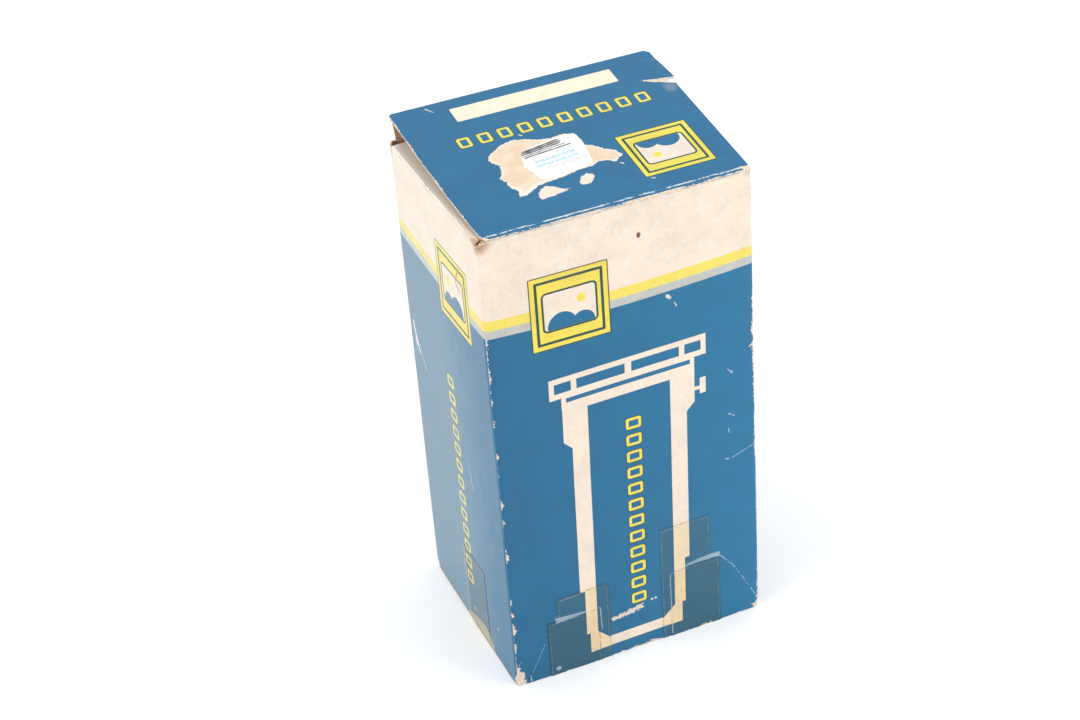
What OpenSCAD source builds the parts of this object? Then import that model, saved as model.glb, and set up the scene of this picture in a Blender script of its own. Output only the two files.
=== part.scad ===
// A slide duplicator standing in its printed folding carton, as it was sold.
// The carton is a reverse-tuck blank: the lid hinges on the front panel and tucks in at the back,
// the bottom hinges on the back panel, tucks in at the front and is sealed with clear tape.
// The duplicator stands inside with its camera thread down and its slide stage up.
// Frame: origin at the middle of the base, +Z up, front panel at -Y, left panel at -X.

/* [Carton] */
// Room between the head of the duplicator and the front and back of the carton
head_room = 1.7; // [1.2:0.1:8]
// Room between the lock screw and the right side of the carton
knob_room = 3.2; // [1.5:0.1:10]
// Room between the slide stage and the top of the closed lid
top_room = 17.5; // [16.5:0.5:40]
// Thickness of the carton board
board_t = 0.55; // [0.4:0.05:0.7]
// Width of the glue flap behind the front panel
glue_flap_w = 12; // [8:1:16]

/* [Lid and flaps] */
// Angle by which the lid stands ajar
lid_ajar = 7.4; // [6:0.2:8]
// How far the lid's left edge stands in from the side of the carton
lid_inset_left = 1.0; // [0.4:0.1:1.4]
// How far the lid's right edge stands in from the side of the carton
lid_inset_right = 0.3; // [0.2:0.1:1.2]
// Length of the tuck flaps
tuck_l = 14; // [11:0.5:15]
// Length of the dust flaps
dust_flap_l = 28; // [22:1:32]
// Degrees that a dust flap rises for each degree that the lid opens
dust_ratio = 0.5; // [0.4:0.01:0.5]
// Width of the shoulder beside a dust flap's crease
shoulder_w = 5; // [3:0.5:7]
// How far a dust flap is cut back from the tuck flap beyond its shoulder
flap_notch = 12; // [8:0.5:14]
// Distance of the slit in the lid's right edge from the hinge
slit_y = 44.5; // [38:0.5:50]
// Length of the slit in the lid's right edge
slit_l = 6; // [3:0.5:9]

/* [Tape and labels] */
// Width of the clear sealing tape
tape_w = 15; // [12:0.5:17]
// Thickness of the clear sealing tape
tape_t = 0.08; // [0.04:0.01:0.12]
// Length of each tape under the base
tape_under = 10; // [6:1:20]
// Length of the stock label on the lid
label_l = 44.6; // [30:0.2:50]
// Width of the stock label
label_w = 6.1; // [4:0.1:9]
// Thickness of both paper labels
paper_t = 0.1; // [0.06:0.01:0.15]
// Width of the torn price sticker
sticker_w = 17; // [12:0.5:20]
// Depth of the torn price sticker
sticker_d = 12; // [8:0.5:14]
// Distance of the stock label's middle from the lid's back edge
label_from_back = 7.4; // [5:0.2:9]
// Distance of the stock label's middle to the right of the lid's middle
label_off = 0.9; // [-6:0.1:6]
// Distance of the price sticker's middle from the hinge
sticker_from_hinge = 24.5; // [14:0.5:34]
// Distance of the price sticker's middle to the left of the lid's middle
sticker_off = 3.2; // [-10:0.1:14]

/* [Packing] */
// Height of the foam cradle round the camera end
cradle_h = 24; // [16:1:26]
// Thickness of the cradle under the duplicator
cradle_floor = 3.5; // [2:0.5:6]
// Thickness of the foam collar round the tube
collar_h = 12; // [8:1:18]
// Height of the foam collar's underside above the cradle
collar_gap = 38; // [30:1:42]

/* [Duplicator tubes] */
// Diameter of the camera thread
thread_d = 42; // [38:0.5:46]
// Length of the camera thread
thread_l = 6.5; // [4:0.5:9]
// Shoulder that the thread ring's flange stands proud of the thread
thread_shoulder = 1; // [0.6:0.1:1.6]
// Wall of the draw tube
draw_wall = 1.8; // [1.2:0.1:2.4]
// Length of the draw tube
draw_l = 70; // [60:1:76]
// Wall of the main tube
main_wall = 1.3; // [1:0.1:1.6]
// Thickness of the felt lining
felt_t = 1.15; // [0.6:0.05:1.5]
// Length of the main tube
main_l = 79; // [74:1:84]
// Length of draw tube that shows below the main tube
draw_shown = 19; // [16:0.5:22]
// Length of each felt lining inside the main tube
felt_l = 8; // [5:1:12]
// Radial clearance between the felt and the draw tube
felt_gap = 0.05; // [0.02:0.01:0.1]

/* [Head and slide stage] */
// Wall of the turning head
head_wall = 3.2; // [2.6:0.1:4]
// Height of the turning head
head_h = 21; // [18:0.5:24]
// Radial clearance between the head and the main tube
head_gap = 0.05; // [0.02:0.01:0.1]
// Width of each rail beside the slide's channel
rail_w = 6; // [5.2:0.1:7]
// Depth of the slide stage, along the slides' travel
stage_d = 50; // [44:0.5:51]
// Thickness of the stage plate
stage_t = 2.2; // [1.6:0.1:3]
// Width of a mounted slide
slide_w = 50.8; // [50:0.1:51]
// Height of the channel for slides
channel_h = 2.4; // [1.8:0.1:3]
// Thickness of the diffuser frame
frame_t = 2; // [1.6:0.1:2.6]
// Thickness of the opal diffuser
diffuser_t = 1; // [0.8:0.1:1.2]
// Width of the picture window
window_w = 36.5; // [34:0.5:40]
// Depth of the picture window
window_d = 24.5; // [22:0.5:28]
// Diameter of the lock screw's knob
knob_d = 8; // [6:0.5:10]
// Thickness of the lock screw's knob
knob_t = 3; // [2:0.2:5]
// Gap between the head and the lock screw's knob
knob_gap = 2; // [1:0.2:4]
// Height of the lock screw above the head's foot
lock_rise = 8.8; // [6:0.2:12]
// Diameter of the lock screw's shank
lock_d = 3; // [2.5:0.5:4]

/* [Lens] */
// Diameter of the lens elements
lens_d = 22; // [18:0.5:26]
// Curvature radius of the outer lens faces
lens_r = 34; // [30:1:50]
// Thickness of a lens element at its middle
lens_t = 5; // [4.6:0.1:6]
// Diameter of the aperture stop
stop_d = 7; // [5:0.5:10]
// Height of the lens cell's foot above the camera end of the draw tube
cell_z = 16; // [12:0.5:22]

/* [Hidden] */
$fn = 96;

// Printed cream, printed blue and the bare inner side of the board
print_blue = [0.20, 0.42, 0.58];
print_cream = [0.95, 0.90, 0.82];
bare_board = [0.62, 0.48, 0.38];
black_metal = [0.06, 0.06, 0.065];
satin_metal = [0.72, 0.72, 0.73];

// Outside diameters of the tubes, from the thread outwards
draw_d = thread_d + 2 * thread_shoulder;
main_d = draw_d + 2 * (felt_gap + felt_t + main_wall);
head_d = main_d + 2 * (head_gap + head_wall);

// Outside width and depth of the carton
carton_w = head_d + 2 * (knob_gap + knob_t + knob_room + board_t);
carton_d = head_d + 2 * (head_room + board_t);

// Half sizes to the outer and inner faces of the carton's walls
xo = carton_w / 2;
yo = carton_d / 2;
xi = xo - board_t;
yi = yo - board_t;

// Gap between boards that lie on each other, and at a crease
fold_gap = 0.1;
crease_gap = 0.05;
// Gap between a tuck flap and the wall that it slides behind
tuck_gap = 0.55;
// Rounding of the carton's upright creases
crease_r = 0.8 * board_t;
// Gap between a dust flap's shoulder and the tuck flap
shoulder_gap = 0.6;

// Length of the lid from its hinge to the tuck flap's outer face
lid_l = carton_d - board_t - tuck_gap;
// Gap left between the tuck flap and the lid's underside, for the crease
tuck_crease_gap = 0.2;
// Rounding of the lid's back corners and of the tuck flaps
lid_corner_r = 2;
tuck_corner_r = 5;
// Slit width in the lid
slit_w = 0.4;

// Height of the floor that the packing stands on
floor_z = 2 * board_t + 2 * fold_gap;
// Fit of the foam in the carton
foam_gap = 0.35;

// Heights up the duplicator, from its camera end
dup_z = floor_z + cradle_floor;
ring_flange_l = 1.6;
draw_z = dup_z + thread_l + ring_flange_l;
main_z = draw_z + draw_shown;
main_top = main_z + main_l;
// The head's top stands above the main tube's end by this much
head_over = 3;
head_z = main_top + head_over - head_h;
stage_z = head_z + head_h;
rail_z = stage_z + stage_t;
frame_z = rail_z + channel_h;
lock_z = head_z + lock_rise;

// Outside height of the carton to the top of the closed lid
carton_h = frame_z + frame_t + top_room;
// Crease height of the top dust flaps, just under the closed lid
dust_z = carton_h - board_t - fold_gap;

// Play and wall sizes inside the duplicator
draw_id = draw_d - 2 * draw_wall;
main_id = main_d - 2 * main_wall;
slide_play = 0.6;
stage_w = slide_w + 2 * (slide_play + rail_w);
part_gap = 0.05;
stage_corner_r = 5;

// ---------- outlines ----------

// Points of a polygon with each corner rounded by its own radius
function corner_arc(a, b, c, r, n = 6) =
    let (u = (a - b) / norm(a - b), v = (c - b) / norm(c - b))
    let (half = acos(u * v) / 2, reach = r / tan(half))
    let (from = b + u * reach, to = b + v * reach)
    let (bis = (u + v) / norm(u + v), centre = b + bis * r / sin(half))
    let (a0 = atan2(from[1] - centre[1], from[0] - centre[0]))
    let (a1 = atan2(to[1] - centre[1], to[0] - centre[0]))
    let (sweep = (a1 - a0 + 540) % 360 - 180)
    [for (i = [0 : n]) centre + r * [cos(a0 + sweep * i / n), sin(a0 + sweep * i / n)]];

function rounded(pts, radii) =
    let (n = len(pts))
    [for (i = [0 : n - 1])
        each radii[i] > 0
            ? corner_arc(pts[(i + n - 1) % n], pts[i], pts[(i + 1) % n], radii[i])
            : [pts[i]]];

function rectangle(w, d) = [[-w / 2, -d / 2], [w / 2, -d / 2], [w / 2, d / 2], [-w / 2, d / 2]];

module rounded_plate(w, d, t, r) {
    linear_extrude(t) polygon(rounded(rectangle(w, d), [r, r, r, r]));
}

// A box given by its lowest and highest corners
module block(low, high) {
    translate(low) cube(high - low);
}

module ring(outer_d, inner_d, h) {
    difference() {
        cylinder(d = outer_d, h = h);
        translate([0, 0, -1]) cylinder(d = inner_d, h = h + 2);
    }
}

// ---------- tape layout ----------

// [side of the front, distance from that side's edge, height up the front, layer on the board]
front_left_at = [-1, 13.0, 25.5, 0];
front_left_patch_at = [-1, 9.9, 18.0, 1];
front_right_at = [1, 14.5, 37.3, 0];
front_right_patch_at = [1, 12.0, 22.0, 1];
// [distance from the front edge, height up the side]
side_tape_at = [18.5, 26.0];

function tape_low(at) = at[0] < 0 ? -xo + at[1] : xo - at[1] - tape_w;

// Shallow bed in the base that takes the tapes' ends, so that they lie flush
module tape_beds() {
    for (at = [front_left_at, front_left_patch_at, front_right_at, front_right_patch_at])
        block([tape_low(at), -yo - 1, -1], [tape_low(at) + tape_w, -yo + tape_under, 2 * tape_t]);
    block([-xo - 1, -yo + side_tape_at[0], -1],
          [-xo + tape_under, -yo + side_tape_at[0] + tape_w, 2 * tape_t]);
}

// One tape: up the front, round the edge and under the base
module front_tape(at) {
    color([0.85, 0.78, 0.55, 0.5]) {
        outside = -yo - (at[3] + 1) * tape_t;
        low = (1 - at[3]) * tape_t;
        block([tape_low(at), outside, low], [tape_low(at) + tape_w, outside + tape_t, at[2]]);
        block([tape_low(at), outside + tape_t, low],
              [tape_low(at) + tape_w, -yo + tape_under, low + tape_t]);
    }
}

// ---------- carton walls ----------

// A full-width wall whose upright creases are rounded; y runs outwards from its inner face
module creased_wall(h) {
    outline = rounded([[-xo, 0], [xo, 0], [xo, board_t], [-xo, board_t]], [0, 0, crease_r, crease_r]);
    linear_extrude(h) polygon(outline);
}

module front_panel() {
    color(print_blue) difference() {
        translate([0, -yi, 0]) mirror([0, 1, 0]) creased_wall(carton_h - board_t - crease_gap);
        tape_beds();
    }
}

module back_panel() {
    color(print_blue) translate([0, yi, 0]) creased_wall(carton_h - board_t);
}

module left_panel() {
    color(print_blue) difference() {
        block([-xo, -yi, 0], [-xi, yi, dust_z - board_t - crease_gap]);
        tape_beds();
    }
}

module right_panel() {
    color(print_blue) block([xi, -yi, 0], [xo, yi, dust_z - board_t - crease_gap]);
}

// Strip of the right panel that is folded in and glued behind the front panel
module glue_flap() {
    foot_gap = 3;
    top_gap = 6;
    slope = 4;
    low = board_t + tuck_l + foot_gap;
    high = dust_z - top_gap;
    color(bare_board)
        translate([0, -yi + board_t, 0]) rotate([90, 0, 0]) linear_extrude(board_t)
            polygon([[xi, low], [xi, high], [xi - glue_flap_w, high - slope],
                     [xi - glue_flap_w, low + slope]]);
}

// ---------- lid, tuck flap and dust flaps ----------

// Moves a piece drawn round the lid's hinge to its place on the carton
module on_lid() {
    translate([0, -yo, carton_h]) rotate([lid_ajar, 0, 0]) children();
}

module lid_panel() {
    left = -xo + lid_inset_left;
    right = xo - lid_inset_right;
    outline = rounded([[left, 0], [right, 0], [right, lid_l], [left, lid_l]],
                      [0, 0, lid_corner_r, lid_corner_r]);
    color(print_blue) on_lid() translate([0, 0, -board_t]) difference() {
        linear_extrude(board_t) polygon(outline);
        translate([right - slit_l, slit_y, -1]) cube([slit_l + 1, slit_w, board_t + 2]);
    }
}

// The tuck flap hangs straight down behind the back panel while the lid stands ajar
module lid_tuck_flap() {
    half = xo - lid_inset_left - 0.4;
    taper = 1.5;
    outline = rounded([[-half, 0], [half, 0], [half - taper, -tuck_l], [-half + taper, -tuck_l]],
                      [0, 0, tuck_corner_r, tuck_corner_r]);
    color(bare_board) on_lid() translate([0, lid_l, 0]) rotate([-lid_ajar, 0, 0])
        intersection() {
            rotate([90, 0, 0]) linear_extrude(board_t) polygon(outline);
            block([-xo, -board_t - 1, -tuck_l - 1], [xo, 1, -board_t - tuck_crease_gap]);
        }
}

// Outline of a dust flap: u away from its crease, v from front to back.
// Its front edge runs off at a slope that keeps clear of the rising lid, and its back edge is
// cut away beside the shoulder to make room for the tuck flap.
function dust_outline(front, shoulder, cut, slope) =
    let (run = shoulder - cut, r = 4)
    rounded([[0, front], [dust_flap_l, front + dust_flap_l * slope], [dust_flap_l, cut],
             [shoulder_w + run, cut], [shoulder_w, shoulder], [0, shoulder]],
            [0, r, r, 0, 0, 0]);

module top_dust_flap(side) {
    slope = dust_ratio + 0.02;
    front = -yi + 4 * fold_gap;
    shoulder = -yo + lid_l * cos(lid_ajar) - board_t - shoulder_gap;
    color(print_cream) translate([side * xo, 0, dust_z]) rotate([0, side * lid_ajar * dust_ratio, 0])
        mirror([side > 0 ? 1 : 0, 0, 0]) translate([0, 0, -board_t])
            linear_extrude(board_t) polygon(dust_outline(front, shoulder, yo - flap_notch, slope));
}

module left_dust_flap() { top_dust_flap(-1); }

module right_dust_flap() { top_dust_flap(1); }

// ---------- bottom closure ----------

module bottom_panel() {
    color(print_blue) difference() {
        block([-xi, -yi + fold_gap, 0], [xi, yi, board_t]);
        tape_beds();
    }
}

module bottom_tuck_flap() {
    half = xi - 0.5;
    taper = 1.5;
    outline = rounded([[-half, 0], [half, 0], [half - taper, tuck_l], [-half + taper, tuck_l]],
                      [0, 0, tuck_corner_r, tuck_corner_r]);
    color(bare_board) translate([0, -yi + fold_gap + board_t, board_t])
        rotate([90, 0, 0]) linear_extrude(board_t) polygon(outline);
}

// Two dust flaps that lie on the bottom panel, the tuck side towards the front
module bottom_dust_flaps() {
    slope = 0.15;
    shoulder = yi - board_t - 5 * fold_gap;
    hinge_side = -yi + 4 * fold_gap;
    color(bare_board) for (side = [0, 1]) mirror([side, 0, 0])
        translate([-xi, 0, board_t + fold_gap]) mirror([0, 1, 0])
            linear_extrude(board_t)
                polygon(dust_outline(hinge_side, shoulder, yo - flap_notch, slope));
}

// ---------- tapes and labels ----------

module front_left_tape() { front_tape(front_left_at); }

module front_left_tape_patch() { front_tape(front_left_patch_at); }

module front_right_tape() { front_tape(front_right_at); }

module front_right_tape_patch() { front_tape(front_right_patch_at); }

module left_side_tape() {
    near = -yo + side_tape_at[0];
    color([0.85, 0.78, 0.55, 0.5]) {
        block([-xo - tape_t, near, tape_t], [-xo, near + tape_w, side_tape_at[1]]);
        block([-xo, near, tape_t], [-xo + tape_under, near + tape_w, 2 * tape_t]);
    }
}

module stock_label() {
    corner_r = 0.3;
    color([0.96, 0.94, 0.84]) on_lid() translate([label_off, lid_l - label_from_back, 0])
        rounded_plate(label_l, label_w, paper_t, corner_r);
}

module price_sticker() {
    corner_r = 2;
    color([0.97, 0.97, 0.97]) on_lid() translate([-sticker_off, sticker_from_hinge, 0])
        rounded_plate(sticker_w, sticker_d, paper_t, corner_r);
}

// ---------- foam packing ----------

module foam_block(h) {
    w = 2 * (xi - foam_gap);
    front = -yi + 2 * fold_gap + board_t + foam_gap;
    back = yi - foam_gap;
    translate([0, (front + back) / 2, 0]) rounded_plate(w, back - front, h, 2);
}

module foam_cradle() {
    color([0.93, 0.93, 0.91]) translate([0, 0, floor_z]) difference() {
        foam_block(cradle_h);
        translate([0, 0, cradle_floor]) cylinder(d = draw_d + 2 * foam_gap, h = cradle_h);
    }
}

module foam_collar() {
    color([0.93, 0.93, 0.91]) translate([0, 0, floor_z + cradle_h + collar_gap]) difference() {
        foam_block(collar_h);
        translate([0, 0, -1]) cylinder(d = main_d + 2 * foam_gap, h = collar_h + 2);
    }
}

// ---------- camera end and draw tube ----------

// Threaded ring that screws into the camera adapter; its crests are plain rounds
module camera_thread_ring() {
    pitch = 0.75;
    groove = 0.3;
    spigot_l = 5;
    bore_lip = 2.5;
    bore = draw_id - 2 * bore_lip;
    crests = floor(thread_l / pitch) - 1;
    color(satin_metal) translate([0, 0, dup_z]) difference() {
        union() {
            cylinder(d = thread_d, h = thread_l);
            translate([0, 0, thread_l]) cylinder(d = draw_d, h = ring_flange_l);
            translate([0, 0, thread_l + ring_flange_l])
                cylinder(d = draw_id - 2 * part_gap, h = spigot_l);
        }
        translate([0, 0, -1]) cylinder(d = bore, h = thread_l + ring_flange_l + spigot_l + 2);
        for (i = [1 : crests]) translate([0, 0, i * pitch])
            ring(thread_d + 2, thread_d - 2 * groove, pitch / 2);
    }
}

module draw_tube() {
    lip = 1;
    color(black_metal) translate([0, 0, draw_z]) rotate_extrude()
        polygon([[draw_id / 2, 0], [draw_d / 2, 0], [draw_d / 2, draw_l - lip],
                 [draw_d / 2 - lip / 2, draw_l], [draw_id / 2, draw_l]]);
}

// ---------- lens ----------

// Both lens elements are plano-convex and face each other across the stop
cell_spare = 6;
cell_wall = 2.5;
cell_l = 2 * lens_t + cell_spare;
lens_seat = 1;
stop_t = 1.2;
cell_foot = draw_z + cell_z;

module lens_cell() {
    flange_t = 3;
    color(black_metal) translate([0, 0, cell_foot]) difference() {
        union() {
            cylinder(d = lens_d + 2 * cell_wall, h = cell_l);
            cylinder(d = draw_id - 2 * part_gap, h = flange_t);
        }
        translate([0, 0, -1]) cylinder(d = lens_d - 2 * lens_seat, h = cell_l + 2);
        translate([0, 0, lens_seat]) cylinder(d = lens_d + 2 * part_gap, h = cell_l);
    }
}

// One element: flat towards the stop, domed away from it
module lens_element() {
    intersection() {
        cylinder(d = lens_d, h = lens_t);
        translate([0, 0, lens_t - lens_r]) sphere(r = lens_r);
    }
}

module rear_lens() {
    color([0.75, 0.85, 0.9, 0.4])
        translate([0, 0, cell_foot + lens_seat + lens_t]) mirror([0, 0, 1]) lens_element();
}

module aperture_stop() {
    color(black_metal) translate([0, 0, cell_foot + lens_seat + lens_t])
        ring(lens_d, stop_d, stop_t);
}

module front_lens() {
    color([0.75, 0.85, 0.9, 0.4])
        translate([0, 0, cell_foot + lens_seat + lens_t + stop_t]) lens_element();
}

module lens_lock_ring() {
    rim = lens_t - lens_r + sqrt(pow(lens_r, 2) - pow(lens_d / 2 - lens_seat, 2));
    low = cell_foot + lens_seat + lens_t + stop_t + rim;
    high = cell_foot + cell_l;
    slot = 1.2;
    color(satin_metal) translate([0, 0, low]) difference() {
        ring(lens_d, lens_d - 2 * lens_seat, high - low);
        translate([-lens_d, -slot / 2, high - low - slot]) cube([2 * lens_d, slot, slot + 1]);
    }
}

// ---------- main tube ----------

// Shallow track that the lock screw's tip bites into, below the tube's sliding surface
lock_groove_w = lock_d + 0.6;
lock_groove_depth = 0.6;

module main_tube() {
    chamfer = 1;
    groove_low = lock_z - lock_groove_w / 2;
    color(black_metal) difference() {
        translate([0, 0, main_z]) rotate_extrude()
            polygon([[main_id / 2, 0], [main_d / 2 - chamfer, 0], [main_d / 2, chamfer],
                     [main_d / 2, main_l - chamfer / 2], [main_d / 2 - chamfer / 2, main_l],
                     [main_id / 2, main_l]]);
        translate([0, 0, groove_low])
            ring(main_d + 2, main_d - 2 * lock_groove_depth, lock_groove_w);
    }
}

// Two felt bands glued inside the main tube, which the draw tube slides in
module felt_linings() {
    inset = 2;
    below_top = 3;
    upper = draw_z + draw_l - felt_l - below_top;
    color([0.12, 0.12, 0.12]) for (z = [main_z + inset, upper])
        translate([0, 0, z]) ring(main_id, draw_d + 2 * felt_gap, felt_l);
}

module glare_baffle() {
    t = 1;
    below_end = 4;
    reach = 3.4;
    color(black_metal) translate([0, 0, main_top - below_end])
        ring(main_id, main_id - 2 * reach, t);
}

// ---------- turning head ----------

head_screw_r = (head_d + main_d) / 4;
head_screw_d = 1.4;
head_screw_l = 7;
head_screw_angles = [90, 210, 330];

// Cup that turns on the main tube; its foot slopes in to the tube as on the carton's outline
module head_collar() {
    slope_h = 2.8;
    bore = main_d + 2 * head_gap;
    color(black_metal) difference() {
        translate([0, 0, head_z]) rotate_extrude()
            polygon([[bore / 2, 0], [bore / 2 + 0.8, 0], [head_d / 2, slope_h],
                     [head_d / 2, head_h], [bore / 2, head_h]]);
        translate([0, 0, lock_z]) rotate([0, 90, 0])
            cylinder(d = lock_d + 2 * part_gap, h = head_d);
        for (a = head_screw_angles) rotate([0, 0, a])
            translate([head_screw_r, 0, stage_z - head_screw_l])
                cylinder(d = head_screw_d + 2 * part_gap, h = head_screw_l + 1);
    }
}

// Thumbscrew with a straight-knurled knob, backed off so that its tip stands clear of the tube
module lock_screw() {
    backed_off = 0.2;
    tip = main_d / 2 + backed_off;
    knob_in = head_d / 2 + knob_gap;
    teeth = 24;
    knurl = 0.25;
    outline = [for (i = [0 : 2 * teeth - 1])
        (knob_d / 2 - (i % 2) * knurl) * [cos(180 * i / teeth), sin(180 * i / teeth)]];
    color(satin_metal) translate([0, 0, lock_z]) rotate([0, 90, 0]) {
        translate([0, 0, tip]) cylinder(d = lock_d, h = knob_in + 1 - tip);
        translate([0, 0, knob_in]) linear_extrude(knob_t) polygon(outline);
    }
}

// Countersunk round whose head's face lies at z = 0, with a short upright rim round the head;
// past lengthens both ends for cutting
module countersunk_form(shank_d, head_dia, length, sink, past = 0) {
    rim = 0.4 * sink;
    rotate_extrude() polygon([
        [0, -length - past], [shank_d / 2, -length - past], [shank_d / 2, -sink],
        [head_dia / 2, -rim], [head_dia / 2, past], [0, past]
    ]);
}

module countersunk_screw(shank_d, head_dia, length, sink) {
    slot_w = 0.35;
    slot_depth = 0.3 * sink;
    difference() {
        countersunk_form(shank_d, head_dia, length, sink);
        translate([-head_dia, -slot_w / 2, -slot_depth]) cube([2 * head_dia, slot_w, sink]);
    }
}

module countersink(shank_d, head_dia, length, sink) {
    countersunk_form(shank_d + 2 * part_gap, head_dia + 2 * part_gap, length, sink, 1);
}

head_screw_head = 2.6;
head_screw_sink = 1;

module head_screws() {
    color(satin_metal) for (a = head_screw_angles) rotate([0, 0, a])
        translate([head_screw_r, 0, rail_z])
            countersunk_screw(head_screw_d, head_screw_head, stage_t + head_screw_l - 1,
                              head_screw_sink);
}

// ---------- slide stage ----------

stage_screw_inset = 4;
stage_screw_at = [stage_w / 2 - rail_w / 2, stage_d / 2 - stage_screw_inset];
stage_screw_d = 1.6;
stage_screw_head = 3;
stage_screw_sink = 1;

module at_stage_screws() {
    for (sx = [-1, 1]) for (sy = [-1, 1])
        translate([sx * stage_screw_at[0], sy * stage_screw_at[1], 0]) children();
}

module stage_plate() {
    color(black_metal) difference() {
        translate([0, 0, stage_z]) rounded_plate(stage_w, stage_d, stage_t, stage_corner_r);
        translate([-window_w / 2, -window_d / 2, stage_z - 1])
            cube([window_w, window_d, stage_t + 2]);
        for (a = head_screw_angles) rotate([0, 0, a]) translate([head_screw_r, 0, rail_z])
            countersink(head_screw_d, head_screw_head, stage_t, head_screw_sink);
        at_stage_screws() translate([0, 0, stage_z - 1])
            cylinder(d = stage_screw_d + 2 * part_gap, h = stage_t + 2);
    }
}

// Two rails that guide the slide's edges; slides pass through from front to back
module stage_rails() {
    color(black_metal) difference() {
        for (side = [0, 1]) mirror([side, 0, 0])
            translate([stage_w / 2 - rail_w, 0, rail_z]) intersection() {
                translate([0, -stage_d / 2, 0]) cube([rail_w, stage_d, channel_h]);
                translate([rail_w - stage_w / 2, 0, 0])
                    rounded_plate(stage_w, stage_d, channel_h, stage_corner_r);
            }
        at_stage_screws() translate([0, 0, rail_z - 1])
            cylinder(d = stage_screw_d + 2 * part_gap, h = channel_h + 2);
    }
}

// Bowed leaf springs under the frame that press the slide on the plate
module slide_springs() {
    leaf_t = 0.25;
    leaf_w = 3;
    leaf_inset = 6;
    leaf_l = stage_d - 2 * leaf_inset;
    bow = channel_h - leaf_t - 0.4;
    steps = 12;
    function dip(i) = bow * pow(2 * i / steps - 1, 2);
    top = [for (i = [0 : steps]) [leaf_l * (i / steps - 0.5), -dip(i)]];
    low = [for (i = [steps : -1 : 0]) [leaf_l * (i / steps - 0.5), -dip(i) - leaf_t]];
    color(satin_metal) for (side = [-1, 1])
        translate([side * (slide_w / 2 - leaf_w), 0, frame_z]) rotate([90, 0, 90])
            translate([0, 0, -leaf_w / 2]) linear_extrude(leaf_w) polygon(concat(top, low));
}

// Frame that holds the opal sheet over the slide channel
diffuser_lap_w = 3.5;
diffuser_lap_d = 4.5;
diffuser_w = window_w + 2 * diffuser_lap_w;
diffuser_d = window_d + 2 * diffuser_lap_d;

module diffuser_frame() {
    lip = 2.5;
    color(black_metal) difference() {
        translate([0, 0, frame_z]) rounded_plate(stage_w, stage_d, frame_t, stage_corner_r);
        translate([0, 0, frame_z - 1])
            linear_extrude(frame_t + 2)
                square([diffuser_w - 2 * lip, diffuser_d - 2 * lip], center = true);
        translate([0, 0, frame_z + frame_t - diffuser_t]) linear_extrude(frame_t)
            square([diffuser_w + 2 * part_gap, diffuser_d + 2 * part_gap], center = true);
        at_stage_screws() translate([0, 0, frame_z + frame_t])
            countersink(stage_screw_d, stage_screw_head, frame_t, stage_screw_sink);
    }
}

module diffuser() {
    color([0.95, 0.95, 0.92]) translate([0, 0, frame_z + frame_t - diffuser_t])
        linear_extrude(diffuser_t) square([diffuser_w, diffuser_d], center = true);
}

module stage_screws() {
    length = frame_t + channel_h + stage_t - 0.2;
    color(satin_metal) at_stage_screws() translate([0, 0, frame_z + frame_t])
        countersunk_screw(stage_screw_d, stage_screw_head, length, stage_screw_sink);
}

front_panel();
right_panel();
back_panel();
left_panel();
glue_flap();
lid_panel();
lid_tuck_flap();
left_dust_flap();
right_dust_flap();
bottom_panel();
bottom_tuck_flap();
bottom_dust_flaps();
front_left_tape();
front_left_tape_patch();
front_right_tape();
front_right_tape_patch();
left_side_tape();
stock_label();
price_sticker();
foam_cradle();
foam_collar();
camera_thread_ring();
draw_tube();
lens_cell();
rear_lens();
front_lens();
aperture_stop();
lens_lock_ring();
main_tube();
felt_linings();
glare_baffle();
head_collar();
lock_screw();
head_screws();
stage_plate();
stage_rails();
slide_springs();
diffuser_frame();
diffuser();
stage_screws();
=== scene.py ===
import math

import bpy
from mathutils import Matrix, Vector, noise


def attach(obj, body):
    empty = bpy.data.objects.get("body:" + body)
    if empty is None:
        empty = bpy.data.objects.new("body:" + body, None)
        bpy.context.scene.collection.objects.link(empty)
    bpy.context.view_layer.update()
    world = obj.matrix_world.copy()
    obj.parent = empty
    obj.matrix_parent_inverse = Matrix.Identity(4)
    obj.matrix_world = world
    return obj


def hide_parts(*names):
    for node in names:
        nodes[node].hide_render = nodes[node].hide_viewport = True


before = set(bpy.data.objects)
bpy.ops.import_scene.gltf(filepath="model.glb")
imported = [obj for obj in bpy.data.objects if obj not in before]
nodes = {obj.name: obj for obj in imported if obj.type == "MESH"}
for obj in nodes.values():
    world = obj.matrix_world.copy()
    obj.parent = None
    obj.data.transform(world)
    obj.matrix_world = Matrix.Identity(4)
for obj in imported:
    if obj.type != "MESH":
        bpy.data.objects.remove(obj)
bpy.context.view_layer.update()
MM = 0.001


# ---------- Table, lamps and camera ----------
# The carton stands on a white table in a white room. One wide soft lamp hangs over it, one stands
# close to its front, nearer the right edge, and a third lights its left side from further off.


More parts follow.
